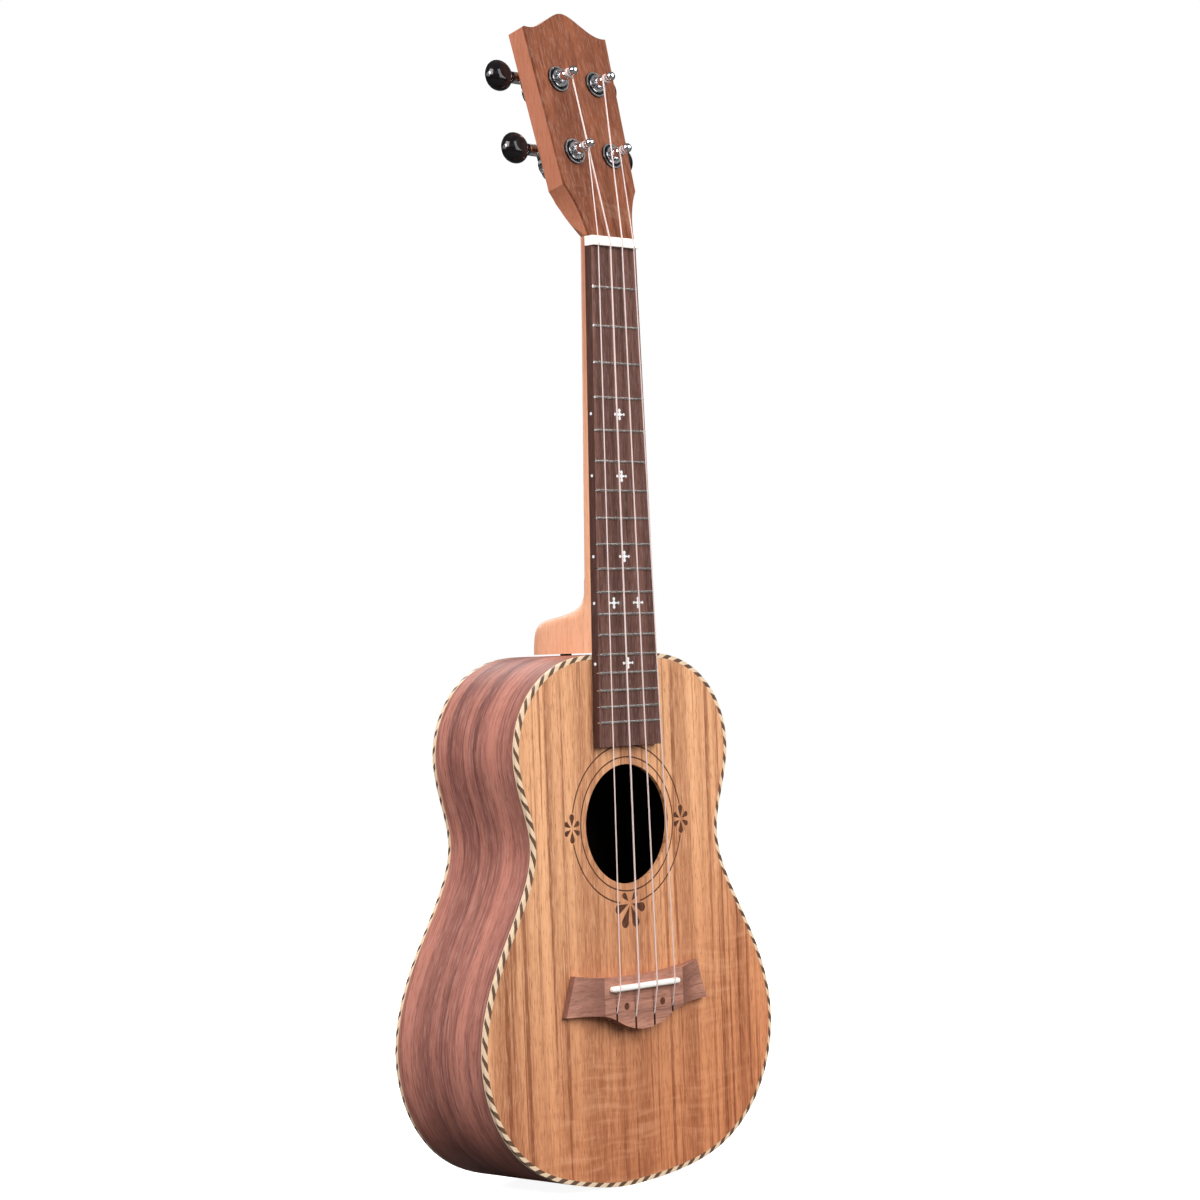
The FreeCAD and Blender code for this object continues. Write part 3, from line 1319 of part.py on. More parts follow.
# ---------------------------------------------------------------------------
# Check every object, then write each sub-part
# ---------------------------------------------------------------------------
doc.recompute()
for thing in doc.Objects:
    if "Invalid" in thing.State or "Error" in thing.State:
        raise RuntimeError("%s failed to compute: %s" % (thing.Label, thing.State))
for piece in PIECES:
    if piece.Shape.isNull() or not piece.Shape.isValid() or not piece.Shape.Solids:
        raise RuntimeError("%s has no valid solid" % piece.Label)
for piece in PIECES:
    piece.Shape.exportStep("parts/%s.step" % piece.Label)
    print("%-24s %2d solids %12.2f mm3" % (piece.Label, len(piece.Shape.Solids), piece.Shape.Volume))
print(len(PIECES), "nodes")
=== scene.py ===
"""The looks of a concert ukulele, laid out as an add-on and run as a script.

Metres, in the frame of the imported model: +X is the treble side, +Y goes into the body
and +Z runs up the neck from the nut.
"""

import json
import math

import bmesh
import bpy
import numpy as np
from bpy.props import FloatProperty, FloatVectorProperty, PointerProperty
from mathutils import Matrix, Vector


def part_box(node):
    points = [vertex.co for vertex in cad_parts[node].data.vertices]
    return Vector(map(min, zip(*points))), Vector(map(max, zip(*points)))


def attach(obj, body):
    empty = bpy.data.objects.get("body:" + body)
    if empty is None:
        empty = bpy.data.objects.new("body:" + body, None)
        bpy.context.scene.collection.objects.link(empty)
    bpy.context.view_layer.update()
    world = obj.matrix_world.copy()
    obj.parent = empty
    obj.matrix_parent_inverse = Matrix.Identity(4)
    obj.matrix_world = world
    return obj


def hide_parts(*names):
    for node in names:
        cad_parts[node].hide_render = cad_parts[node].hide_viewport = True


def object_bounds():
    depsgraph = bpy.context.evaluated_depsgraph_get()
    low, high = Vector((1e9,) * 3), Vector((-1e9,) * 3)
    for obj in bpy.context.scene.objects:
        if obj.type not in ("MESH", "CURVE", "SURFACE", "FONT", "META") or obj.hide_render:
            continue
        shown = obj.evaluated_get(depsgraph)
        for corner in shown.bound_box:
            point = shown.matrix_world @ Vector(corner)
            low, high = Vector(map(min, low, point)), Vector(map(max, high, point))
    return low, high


bl_info = {
    "name": "Concert ukulele looks",
    "version": (1, 0, 0),
    "blender": (4, 5, 0),
    "location": "3D View > Sidebar > Ukulele",
    "description": "Finishes, rope binding and studio for a concert ukulele",
    "category": "Object",
}

MM = 0.001
TUNERS = ("upper_left", "upper_right", "lower_left", "lower_right")
INNER_NODES = ("front_lining", "back_lining", "neck_block", "tail_block", "top_braces")
INNER_NODES += ("back_braces", "back_centre_strip", "bridge_plate", "neck_dowels")
STRINGS = ("string_g", "string_c", "string_e", "string_a")
MERGE_DISTANCE = 1e-6
FLAT_ANGLE = math.radians(0.4)
END_REACH = 60 * MM
BLACK, WHITE = (0, 0, 0), (1, 1, 1)
# the room's brightness from straight down (0) to straight up (1)
ROOM_BANDS = (
    (0.0, 0.1), (0.34, 0.12), (0.42, 1.4), (0.5, 0.1), (0.6, 0.1), (0.7, 1.6), (0.78, 0.3), (1.0, 0.5),
)

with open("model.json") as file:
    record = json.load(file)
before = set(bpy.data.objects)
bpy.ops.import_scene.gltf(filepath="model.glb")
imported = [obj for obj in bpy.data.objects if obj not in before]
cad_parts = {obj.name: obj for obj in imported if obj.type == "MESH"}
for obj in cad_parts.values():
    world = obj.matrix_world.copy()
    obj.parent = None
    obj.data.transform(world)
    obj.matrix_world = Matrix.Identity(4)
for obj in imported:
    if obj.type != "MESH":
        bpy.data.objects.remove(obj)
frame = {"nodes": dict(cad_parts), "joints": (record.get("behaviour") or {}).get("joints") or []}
cad_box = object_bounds()


def colour(name, description, default):
    """A colour that a user may change."""
    return FloatVectorProperty(
        name=name, description=description, default=default, subtype="COLOR", size=3, min=0, max=1
    )


def length(name, description, default):
    """A length in metres that a user may change."""
    return FloatProperty(
        name=name, description=description, default=default, subtype="DISTANCE", unit="LENGTH",
        min=0, precision=5
    )


def angle(name, description, default):
    """An angle in radians that a user may change."""
    return FloatProperty(
        name=name, description=description, default=default, subtype="ANGLE", unit="ROTATION"
    )


def power(name, default):
    """The power of a light in watts, which a user may change."""
    description = f"Power of the {name.lower()}"
    return FloatProperty(name=name, description=description, default=default, min=0, unit="POWER")


class UkuleleWoods(bpy.types.PropertyGroup):
    """The colours of the wooden parts."""

    top_light: colour("Top, light", "Pale bands of the soundboard", (0.86, 0.455, 0.235))
    top_dark: colour("Top, dark", "Dark streaks of the soundboard", (0.25, 0.075, 0.03))
    # Top tint: deepens the top towards the tail and the lower treble side, partly the wood's own amber colour
    # and partly painted shade
    top_amber_and_shade: colour("Top, amber", "Clear tint that deepens the wood towards the tail", (0.80, 0.56, 0.46))
    rib_light: colour("Ribs, light", "Pale bands of the sides and back", (0.48, 0.19, 0.14))
    rib_dark: colour("Ribs, dark", "Dark streaks of the sides and back", (0.10, 0.033, 0.033))
    neck_light: colour("Neck, light", "Pale grain of the neck", (0.84, 0.43, 0.26))
    neck_dark: colour("Neck, dark", "Dark grain of the neck", (0.60, 0.25, 0.13))
    # Neck tint: painted shade that darkens the neck towards the headstock
    neck_head_shade: colour("Neck, tint", "Clear tint of the neck towards the headstock", (0.54, 0.40, 0.38))
    head_light: colour("Head, light", "Pale bands of the headstock face", (0.24, 0.075, 0.034))
    head_dark: colour("Head, dark", "Dark streaks of the headstock face", (0.085, 0.024, 0.012))
    board_light: colour("Fretboard, light", "Pale grain of the fretboard", (0.17, 0.078, 0.062))
    board_dark: colour("Fretboard, dark", "Dark grain of the fretboard", (0.045, 0.018, 0.014))
    bridge_light: colour("Bridge, light", "Pale grain of the bridge", (0.50, 0.235, 0.165))
    bridge_dark: colour("Bridge, dark", "Dark grain of the bridge", (0.17, 0.07, 0.05))
    # Inside: a near-black colour that is painted shade for all the wood inside the body
    inside: colour("Inside", "Stain of the wood inside the body", (0.012, 0.007, 0.005))


class UkuleleTrim(bpy.types.PropertyGroup):
    """The rope binding, the inlays and the fittings."""

    rope_pitch: length("Rope pitch", "Length of rim from one dark strand to the next", 8.9 * MM)
    rope_rounding: length("Rope rounding", "Radius of the binding's outer corner", 0.55 * MM)
    rope_lay: FloatProperty(
        name="Rope lay", description="Run along the rim for each unit across it", default=1.55, min=0
    )
    rope_cream: colour("Rope, cream", "Pale strands", (0.86, 0.66, 0.46))
    rope_brown: colour("Rope, brown", "Dark strands", (0.085, 0.036, 0.018))
    inlay: colour("Inlay", "Dark inlaid lines and petals", (0.06, 0.018, 0.009))
    pearl: colour("Pearl", "Fretboard markers", (0.80, 0.82, 0.86))
    bone: colour("Bone", "Nut and saddle", (0.93, 0.90, 0.86))
    nylon: colour("Nylon", "Strings", (0.62, 0.49, 0.46))
    fret_wire: colour("Fret wire", "Nickel of the frets", (0.80, 0.76, 0.73))
    chrome: colour("Chrome", "Plating of the tuners", (0.82, 0.82, 0.85))
    brass: colour("Brass", "Gear wheels", (0.72, 0.50, 0.20))
    button: colour("Button", "Moulded tuner buttons", (0.005, 0.004, 0.005))


class UkuleleStudio(bpy.types.PropertyGroup):
    """The camera, the lights and the floor."""

    camera_place: FloatVectorProperty(
        name="Camera place", description="Where the camera stands",
        default=(-1.17124, -1.10343, -0.20881), subtype="TRANSLATION", unit="LENGTH", size=3
    )
    camera_yaw: angle("Yaw", "Heading from +Y towards +X", 0.80894)
    camera_pitch: angle("Pitch", "Look upwards", 0.016389)
    camera_roll: angle("Roll", "Turn about the line of sight", -0.034988)
    camera_lens: FloatProperty(
        name="Lens", description="Focal length in millimetres on a 36 mm sensor", default=93.213, min=1
    )
    key_power: power("Key light", 40)
    side_power: power("Side light", 38)
    back_power: power("Back light", 10)
    room_level: FloatProperty(name="Room level", description="Brightness of the room", default=0.35, min=0)
    floor_radius: length("Floor radius", "Radius of the studio floor", 6.0)
    floor_colour: colour("Floor", "Paper of the floor", (0.93, 0.93, 0.93))


# ---------------------------------------------------------------------------
# Finishes
# ---------------------------------------------------------------------------
class Finish:
    """A material under construction, read on Object coordinates or on a piece's own UV map."""

    def __init__(self, name, **surface):
        self.material = bpy.data.materials.new(name)
        self.material.use_nodes = True
        self.tree = self.material.node_tree
        self.shader = self.tree.nodes["Principled BSDF"]
        self.coordinates = self.tree.nodes.new("ShaderNodeTexCoord")
        self.place = self.coordinates.outputs["Object"]
        self.surface(**surface)

    def surface(self, **values):
        """Sets or links the shader's own sockets; an underscore stands for a space."""
        for name, value in values.items():
            self.feed(self.shader.inputs[name.replace("_", " ")], value)

    def feed(self, socket, value):
        """Links a socket to a socket, or gives it a value."""
        if isinstance(value, bpy.types.NodeSocket):
            self.tree.links.new(value, socket)
        elif socket.type == "RGBA":
            socket.default_value = (*value[:3], 1)
        else:
            socket.default_value = value

    def node(self, kind, inputs, **settings):
        """A new node with its settings and its inputs, which are given by name or number."""
        made = self.tree.nodes.new(kind)
        for name, value in settings.items():
            setattr(made, name, value)
        for key, value in inputs.items():
            self.feed(made.inputs[key], value)
        return made

    def calculate(self, operation, first, second=0.0, third=0.0):
        """One sum on numbers."""
        inputs = {0: first, 1: second, 2: third}
        return self.node("ShaderNodeMath", inputs, operation=operation).outputs[0]

    def combine(self, operation, first, second):
        """One sum on two vectors."""
        made = self.node("ShaderNodeVectorMath", {0: first, 1: second}, operation=operation)
        return made.outputs["Value" if operation == "DOT_PRODUCT" else "Vector"]

    def parts(self, vector):
        """The X, Y and Z of a vector, by name."""
        return self.node("ShaderNodeSeparateXYZ", {0: vector}).outputs

    def mapped(self, place, scale=(1, 1, 1), turn=(0, 0, 0), shift=(0, 0, 0)):
        """Coordinates scaled, turned and moved."""
        inputs = {"Vector": place, "Scale": scale, "Rotation": turn, "Location": shift}
        return self.node("ShaderNodeMapping", inputs).outputs[0]

    def wandering(self, place, scale, amount):
        """Coordinates that drift slowly, so that a straight pattern isn't ruled."""
        cloud = self.node("ShaderNodeTexNoise", {"Vector": place, "Scale": scale, "Detail": 1.0})
        inputs = {0: cloud.outputs["Color"], 1: amount, 2: place}
        return self.node("ShaderNodeVectorMath", inputs, operation="MULTIPLY_ADD").outputs[0]

    def noise(self, place, scale, detail=2.0, roughness=0.5, distortion=0.0, seed=0.0):
        """Cloudy values between 0 and 1."""
        inputs = {"Vector": place, "Scale": scale, "Detail": detail, "Roughness": roughness}
        inputs |= {"Distortion": distortion, "W": seed}
        return self.node("ShaderNodeTexNoise", inputs, noise_dimensions="4D").outputs["Fac"]

    def between(self, value, low, high, to_low=0.0, to_high=1.0):
        """A smooth step from one value to another while the input goes from low to high."""
        inputs = {0: value, 1: low, 2: high, 3: to_low, 4: to_high}
        return self.node("ShaderNodeMapRange", inputs, interpolation_type="SMOOTHSTEP").outputs[0]

    def blend(self, factor, first, second, mode="MIX"):
        """Two colours mixed."""
        made = self.node("ShaderNodeMix", {0: factor, 6: first, 7: second}, data_type="RGBA", blend_type=mode)
        return made.outputs[2]

    def facing(self, direction):
        """1 where the surface faces that way, in the object's own space."""
        return self.combine("DOT_PRODUCT", self.coordinates.outputs["Normal"], direction)

    def bump(self, height, distance, strength=1.0):
        """A fine relief."""
        inputs = {"Height": height, "Distance": distance, "Strength": strength}
        self.surface(Normal=self.node("ShaderNodeBump", inputs).outputs[0])


def mixed(first, second, share):
    """A colour between two others."""
    return tuple(a + (b - a) * share for a, b in zip(first, second))


def darker(tone, share):
    """A colour taken towards black."""
    return mixed(tone, BLACK, share)


class Wood(Finish):
    """Quarter-sawn wood: wide bands, narrow streaks, open pores and fine fibres along one direction."""

    def __init__(self, name, light, dark, stretch, seed, turn=(0, 0, 0), bands=60, streaks=330, pores=1500,
                 band_depth=0.75, streak_depth=0.6, pore_depth=0.35, gloss=0.46):
        super().__init__(name, Specular_IOR_Level=0.3)
        self.light, self.dark = light, dark
        self.turned = self.mapped(self.place, turn=turn)
        loose = self.wandering(self.turned, 5.0, (0.004, 0.004, 0.004))
        grain = self.mapped(loose, scale=stretch)
        fibre_space = self.mapped(self.turned, scale=tuple(max(s, 0.1) for s in stretch))
        wide = self.noise(grain, bands, 2.0, 0.5, seed=seed)
        middle = self.noise(grain, streaks * 0.4, 2.0, 0.6, seed=seed + 3)
        narrow = self.noise(grain, streaks, 2.0, 0.6, seed=seed + 7)
        fibre = self.noise(fibre_space, pores * 0.55, 3.0, 0.7, seed=seed + 11)
        pore = self.between(self.noise(fibre_space, pores, 1.0, 0.5, seed=seed + 13), 0.60, 0.70)
        base = self.blend(self.between(wide, 0.34, 0.66), mixed(light, dark, band_depth), light)
        base = self.blend(self.between(middle, 0.52, 0.66, 0.0, band_depth), base, mixed(light, dark, 0.8))
        base = self.blend(self.between(narrow, 0.54, 0.66, 0.0, streak_depth), base, dark)
        pale = mixed(light, WHITE, 0.10)
        base = self.blend(self.between(fibre, 0.48, 0.70, 0.0, 0.5), base, pale)
        base = self.blend(self.between(fibre, 0.50, 0.32, 0.0, 0.45), base, dark)
        pored = self.calculate("MULTIPLY", pore, pore_depth)
        self.colour = self.blend(pored, base, darker(dark, 0.35))
        self.roughness = self.calculate("MULTIPLY_ADD", fibre, 0.14, gloss - 0.07)
        self.height = self.calculate("SUBTRACT", self.calculate("MULTIPLY", fibre, 0.5), pore)

    def curl(self, across, along, seed, low, high, amount):
        """Cross-grain ripple of figured wood, in patches."""
        ripple_space = self.wandering(self.turned, 22.0, (0.02, 0.0, 0.012))
        ripple_place = self.mapped(ripple_space, scale=(across, across, along))
        ripple = self.noise(ripple_place, 1.0, 2.0, 0.45, seed=seed)
        patch = self.between(self.noise(self.turned, 14.0, 2.0, 0.5, seed=seed + 2), low, high)
        patch = self.calculate("MULTIPLY", patch, amount)
        bright = self.calculate("MULTIPLY", self.between(ripple, 0.48, 0.66), patch)
        dim = self.calculate("MULTIPLY", self.between(ripple, 0.50, 0.34), patch)
        self.colour = self.blend(bright, self.colour, mixed(self.light, (1, 0.85, 0.62), 0.35))
        self.colour = self.blend(dim, self.colour, mixed(self.light, self.dark, 0.8))

    def shade(self, factor, tint):
        """Mixes the colour towards a tint."""
        self.colour = self.blend(factor, self.colour, tint)

    def multiply_tint_and_shade(self, factor, tint):
        """Deepens the colour by multiplying it with a tint, so that the grain stays; used for the top's amber
        tint and for painted shade.
        """
        self.colour = self.blend(factor, self.colour, tint, "MULTIPLY")

    def done(self):
        """Links the colour, the roughness and the relief."""
        self.surface(Base_Color=self.colour, Roughness=self.roughness)
        self.bump(self.height, 0.05 * MM, 0.6)
        return self.material


def paint(material, *names):
    """Gives CAD nodes one finish."""
    for name in names:
        for slot in frame["nodes"][name].material_slots:
            slot.material = material


def make_top_wood(woods):
    """Golden top: streaks up the body and ripple towards the lower treble side; a deeper amber tint there,
    partly the wood's own colour and partly painted shade; near-black painted shade on the face inside the
    body.
    """
    wood = Wood("top_wood", woods.top_light, woods.top_dark, (1, 0.3, 0.012), 2.0,
                bands=60, streaks=300, pores=1500, band_depth=0.6, streak_depth=0.78, pore_depth=0.5)
    place = wood.parts(wood.place)
    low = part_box("soundboard")[0].z
    lean = wood.calculate("SUBTRACT", place["Z"], wood.calculate("MULTIPLY", place["X"], 0.6))
    wood.curl(34, 290, 5.0, 0.42, 0.62, wood.between(lean, low + 0.15, low + 0.02, 0.0, 0.3))
    # partly the wood's own amber and partly painted shade: the top is deepened towards the tail and the lower
    # treble side
    wood.multiply_tint_and_shade(wood.between(lean, low + 0.22, low - 0.03, 0.0, 0.9), woods.top_amber_and_shade)
    # painted shade: the soundboard's face inside the body is near-black
    wood.shade(wood.between(wood.facing((0, 1, 0)), 0.5, 0.9), woods.inside)
    return wood.done()


def make_rib_wood(woods):
    """Reddish-brown sides whose grain runs round the body, with painted shade on faces that look downwards
    and near-black painted shade on the face inside the body.
    """
    wood = Wood("rib_wood", woods.rib_light, woods.rib_dark, (0.010, 1, 0.010), 4.0,
                bands=75, streaks=560, band_depth=0.55, streak_depth=0.6, pore_depth=0.3)
    # painted shade: faces that look downwards are darkened
    wood.multiply_tint_and_shade(wood.between(wood.facing((0, 0, -1)), 0.2, 0.9), (0.62, 0.5, 0.5))
    low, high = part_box("side_left")
    middle = Vector((0, 0, (low.z + high.z) / 2))
    outward = wood.combine("SUBTRACT", wood.place, middle)
    # positive on the outer face of the sides, negative on the face inside the body
    outer = wood.facing(wood.combine("MULTIPLY", outward, (1, 0, 1)))
    # painted shade: the sides' face inside the body is near-black
    wood.shade(wood.between(outer, 0.0, -0.01), woods.inside)
    return wood.done()


def make_back_wood(woods):
    """Reddish-brown back whose grain runs up the body, with near-black painted shade on the face inside the
    body.
    """
    wood = Wood("back_wood", woods.rib_light, woods.rib_dark, (1, 0.3, 0.012), 9.0,
                bands=60, streaks=330, band_depth=0.6, streak_depth=0.6, pore_depth=0.3)
    # painted shade: the back's face inside the body is near-black
    wood.shade(wood.between(wood.facing((0, -1, 0)), 0.5, 0.9), woods.inside)
    return wood.done()


class UKULELE_OT_body(bpy.types.Operator):
    """Finishes the soundboard, the back, the sides and the wood inside, with the inside painted near-black as
    painted shade
    """

    bl_idname = "ukulele.body"
    bl_label = "Body woods"

    def execute(self, context):
        woods = context.scene.ukulele_woods
        paint(make_top_wood(woods), "soundboard")
        paint(make_back_wood(woods), "back_plate")
        paint(make_rib_wood(woods), "side_left", "side_right")
        # painted shade: the linings, blocks, braces and other parts inside the body are near-black
        painted_inside_shade = mixed(woods.inside, woods.rib_light, 0.08)
        inner = Wood("inner_wood", painted_inside_shade, woods.inside, (1, 1, 0.05), 6.0, gloss=0.7)
        paint(inner.done(), *INNER_NODES)
        return {"FINISHED"}


# ---------------------------------------------------------------------------
# Rope binding
# ---------------------------------------------------------------------------
def merged_copy(node):
    """A bmesh copy of a CAD node with its loose triangles joined into flat faces."""
    shape = bmesh.new()
    shape.from_mesh(frame["nodes"][node].data)
    bmesh.ops.remove_doubles(shape, verts=shape.verts, dist=MERGE_DISTANCE)
    bmesh.ops.dissolve_limit(
        shape, angle_limit=FLAT_ANGLE, verts=shape.verts, edges=shape.edges, delimit=set()
    )
    shape.normal_update()
    return shape


def rim_edges(shape, outside):
    """The edges between the outer flat face and the outer wall of a binding."""
    low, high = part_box("side_left")
    found = []
    for edge in shape.edges:
        if len(edge.link_faces) != 2:
            continue
        normals = [face.normal for face in edge.link_faces]
        flats = [n for n in normals if n.dot(outside) > 0.9]
        walls = [n for n in normals if abs(n.dot(outside)) < 0.3]
        if not flats or not walls:
            continue
        middle = (edge.verts[0].co + edge.verts[1].co) / 2
        spine = Vector((0, middle.y, min(max(middle.z, low.z + END_REACH), high.z - END_REACH)))
        if walls[0].dot(middle - spine) > 0:
            found.append(edge)
    return found


def walked(edges):
    """The corners of a closed chain of edges in order, from its highest corner down the bass side."""
    near = {}
    for edge in edges:
        for this, other in (edge.verts, reversed(edge.verts)):
            near.setdefault(this, []).append(other)
    start = max(near, key=lambda corner: corner.co.z)
    step = min(near[start], key=lambda corner: corner.co.x)
    chain = [start, step]
    while True:
        following = [corner for corner in near[chain[-1]] if corner is not chain[-2]]
        if not following or following[0] is start:
            break
        chain.append(following[0])
    return [corner.co.copy() for corner in chain]


def rope_piece(name, node, outside, trim):
    """A rope binding: the CAD solid with a rounded outer corner and a UV map that follows the rim.

    U counts dark strands along the rim. V is the distance across it from the corner in
    millimetres, positive down the side and negative over the face.
    """
    shape = merged_copy(node)
    edges = rim_edges(shape, outside)
    chain = walked(edges)
    start, third, two_thirds = (chain[len(chain) * step // 3] for step in range(3))
    face_normal = (third - start).cross(two_thirds - start).normalized()
    geometry = list(edges) + list({corner for edge in edges for corner in edge.verts})
    bmesh.ops.bevel(shape, geom=geometry, offset=trim.rope_rounding, segments=3, affect="EDGES",
                    profile=0.5, material=-1, clamp_overlap=True)
    bmesh.ops.triangulate(shape, faces=shape.faces)
    points = np.array(chain)
    spans = np.roll(points, -1, axis=0) - points
    span_lengths = np.linalg.norm(spans, axis=1)
    travelled = np.concatenate([[0], np.cumsum(span_lengths)])
    strands = round(travelled[-1] / trim.rope_pitch)
    layer = shape.loops.layers.uv.new("rope")
    flat_normal = np.array(face_normal)
    placed = {}
    for corner in shape.verts:
        point = np.array(corner.co)
        off_face = (point - points[0]) @ flat_normal
        on_face = point - off_face * flat_normal
        share = np.clip(((on_face - points) * spans).sum(1) / np.maximum(span_lengths ** 2, 1e-12), 0, 1)
        gaps = np.linalg.norm(points + spans * share[:, None] - on_face, axis=1)
        best = int(gaps.argmin())
        along = (travelled[best] + share[best] * span_lengths[best]) / travelled[-1] * strands
        placed[corner] = (along, (abs(off_face) - gaps[best]) / MM)
    for face in shape.faces:
        turns = [placed[loop.vert][0] for loop in face.loops]
        for loop, turn in zip(face.loops, turns):
            if max(turns) - turn > strands / 2:
                turn += strands
            loop[layer].uv = (turn, placed[loop.vert][1])
        face.smooth = False
    mesh = bpy.data.meshes.new(name)
    shape.to_mesh(mesh)
    shape.free()
    piece = bpy.data.objects.new(name, mesh)
    bpy.context.scene.collection.objects.link(piece)
    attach(piece, "instrument")
    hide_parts(node)
    return piece


def make_rope_finish(trim):
    """Brown strands laid slantwise over cream ones, with a cream line against the sides."""
    rope = Finish("rope_binding", Specular_IOR_Level=0.45)
    uv = rope.node("ShaderNodeUVMap", {}, uv_map="rope").outputs[0]
    split = rope.parts(uv)
    along, across = split["X"], split["Y"]
    waver = rope.noise(rope.place, 900, 2.0, 0.5, seed=1.0)
    lean = rope.calculate("MULTIPLY", across, trim.rope_lay * MM / trim.rope_pitch)
    turn = rope.calculate("ADD", along, lean)
    turn = rope.calculate("ADD", turn, rope.calculate("MULTIPLY", waver, 0.06))
    strand = rope.calculate("PINGPONG", turn, 0.5)
    half_width = rope.between(across, -2.3, 2.0, 0.26, 0.17)
    edge = rope.calculate("SUBTRACT", strand, half_width)
    brown = rope.between(edge, 0.025, -0.025)
    line = rope.between(across, 1.75, 1.6)
    brown = rope.calculate("MULTIPLY", brown, line)
    fibre = rope.noise(rope.place, 2400, 2.0, 0.6, seed=4.0)
    worn = rope.between(fibre, 0.35, 0.7)
    cream = rope.blend(worn, mixed(trim.rope_cream, trim.rope_brown, 0.22), trim.rope_cream)
    dark = rope.blend(worn, trim.rope_brown, mixed(trim.rope_brown, trim.rope_cream, 0.12))
    roughness = rope.between(fibre, 0.2, 0.8, 0.34, 0.48)
    rope.surface(Base_Color=rope.blend(brown, cream, dark), Roughness=roughness)
    seam = rope.between(rope.calculate("ABSOLUTE", edge), 0.0, 0.05)
    rope.bump(rope.calculate("ADD", seam, rope.calculate("MULTIPLY", fibre, 0.4)), 0.05 * MM, 0.5)
    return rope.material


class UKULELE_OT_rope_binding(bpy.types.Operator):
    """Builds the rope binding round the front and round the back"""

    bl_idname = "ukulele.rope_binding"
    bl_label = "Rope binding"

    def execute(self, context):
        trim = context.scene.ukulele_trim
        finish = make_rope_finish(trim)
        for side, outside in (("front", (0, -1, 0)), ("back", (0, 1, 0))):
            piece = rope_piece(f"rope_{side}", f"{side}_binding", Vector(outside), trim)
            piece.data.materials.append(finish)
        return {"FINISHED"}


# ---------------------------------------------------------------------------
# Neck, headstock, fretboard and bridge
# ---------------------------------------------------------------------------
def head_tilt():
    """The angle of the headstock's face, from the axes of the string posts."""
    joint = next(j for j in frame["joints"] if j["name"] == "turn_post_upper_left")
    axis = Vector(joint["axis"])
    return math.atan2(abs(axis.z), abs(axis.y))


class UKULELE_OT_neck(bpy.types.Operator):
    """Finishes the neck and the face of the headstock"""

    bl_idname = "ukulele.neck"
    bl_label = "Neck and headstock"

    def execute(self, context):
        woods = context.scene.ukulele_woods
        neck = Wood("neck_wood", woods.neck_light, woods.neck_dark, (1, 1, 0.035), 12.0,
                    bands=45, streaks=420, pores=1700, band_depth=0.3, streak_depth=0.25, pore_depth=0.28)
        height = neck.parts(neck.place)["Z"]
        # painted shade: the neck is darkened towards the headstock
        neck.multiply_tint_and_shade(neck.between(height, -0.16, 0.03), woods.neck_head_shade)
        paint(neck.done(), "neck")
        head = Wood("head_veneer", woods.head_light, woods.head_dark, (1, 0.3, 0.02), 14.0,
                    turn=(-head_tilt(), 0, 0), bands=75, streaks=480,
                    band_depth=0.5, streak_depth=0.45, pore_depth=0.3)
        head.curl(30, 260, 3.0, 0.45, 0.65, 0.2)
        head.surface(Specular_IOR_Level=0.12)
        paint(head.done(), "headstock_veneer")
        return {"FINISHED"}


def make_pearl(trim):
    """Mother-of-pearl: clouds of pale pink, green and grey with a glossy face."""
    shell = Finish("pearl", Coat_Weight=0.6, Coat_Roughness=0.05, Specular_IOR_Level=0.7)
    cloud = shell.noise(shell.place, 260, 3.0, 0.6, 1.2, seed=2.0)
    fine = shell.noise(shell.place, 900, 2.0, 0.5, 0.6, seed=5.0)
    green = mixed(trim.pearl, (0.75, 0.9, 0.85), 0.5)
    pink = mixed(trim.pearl, (0.98, 0.78, 0.84), 0.6)
    tone = shell.blend(shell.between(cloud, 0.38, 0.62), green, trim.pearl)
    tone = shell.blend(shell.between(fine, 0.5, 0.75, 0.0, 0.6), tone, pink)
    shell.surface(Base_Color=tone, Roughness=shell.between(cloud, 0.3, 0.7, 0.12, 0.24))
    shell.bump(fine, 0.02 * MM, 0.4)
    return shell.material


def make_fret_wire(trim):
    """Nickel wire, polished along its length."""
    wire = Finish("fret_wire", Metallic=1.0)
    rub = wire.noise(wire.mapped(wire.place, scale=(0.1, 1, 1)), 2500, 3.0, 0.6, seed=3.0)
    tone = wire.blend(rub, darker(trim.fret_wire, 0.12), trim.fret_wire)
    wire.surface(Base_Color=tone, Roughness=wire.between(rub, 0.2, 0.8, 0.16, 0.32))
    wire.bump(rub, 0.01 * MM, 0.3)
    return wire.material


class UKULELE_OT_fretboard(bpy.types.Operator):
    """Finishes the fretboard, its frets and its markers"""

    bl_idname = "ukulele.fretboard"
    bl_label = "Fretboard"

    def execute(self, context):
        woods, trim = context.scene.ukulele_woods, context.scene.ukulele_trim
        board = Wood("board_wood", woods.board_light, woods.board_dark, (1, 1, 0.03), 21.0,
                     bands=110, streaks=650, pores=2000,
                     band_depth=0.5, streak_depth=0.6, pore_depth=0.55, gloss=0.5)
        # painted shade: the fretboard's sides, which face along X, are darkened towards the dark grain colour
        edge = board.calculate("ABSOLUTE", board.facing((1, 0, 0)))
        board.surface(Specular_IOR_Level=0.15)
        board.shade(board.between(edge, 0.5, 0.9, 0.0, 0.7), woods.board_dark)
        paint(board.done(), "fretboard")
        paint(make_fret_wire(trim), "frets")
        paint(make_pearl(trim), "fret_markers", "side_dots")
        return {"FINISHED"}


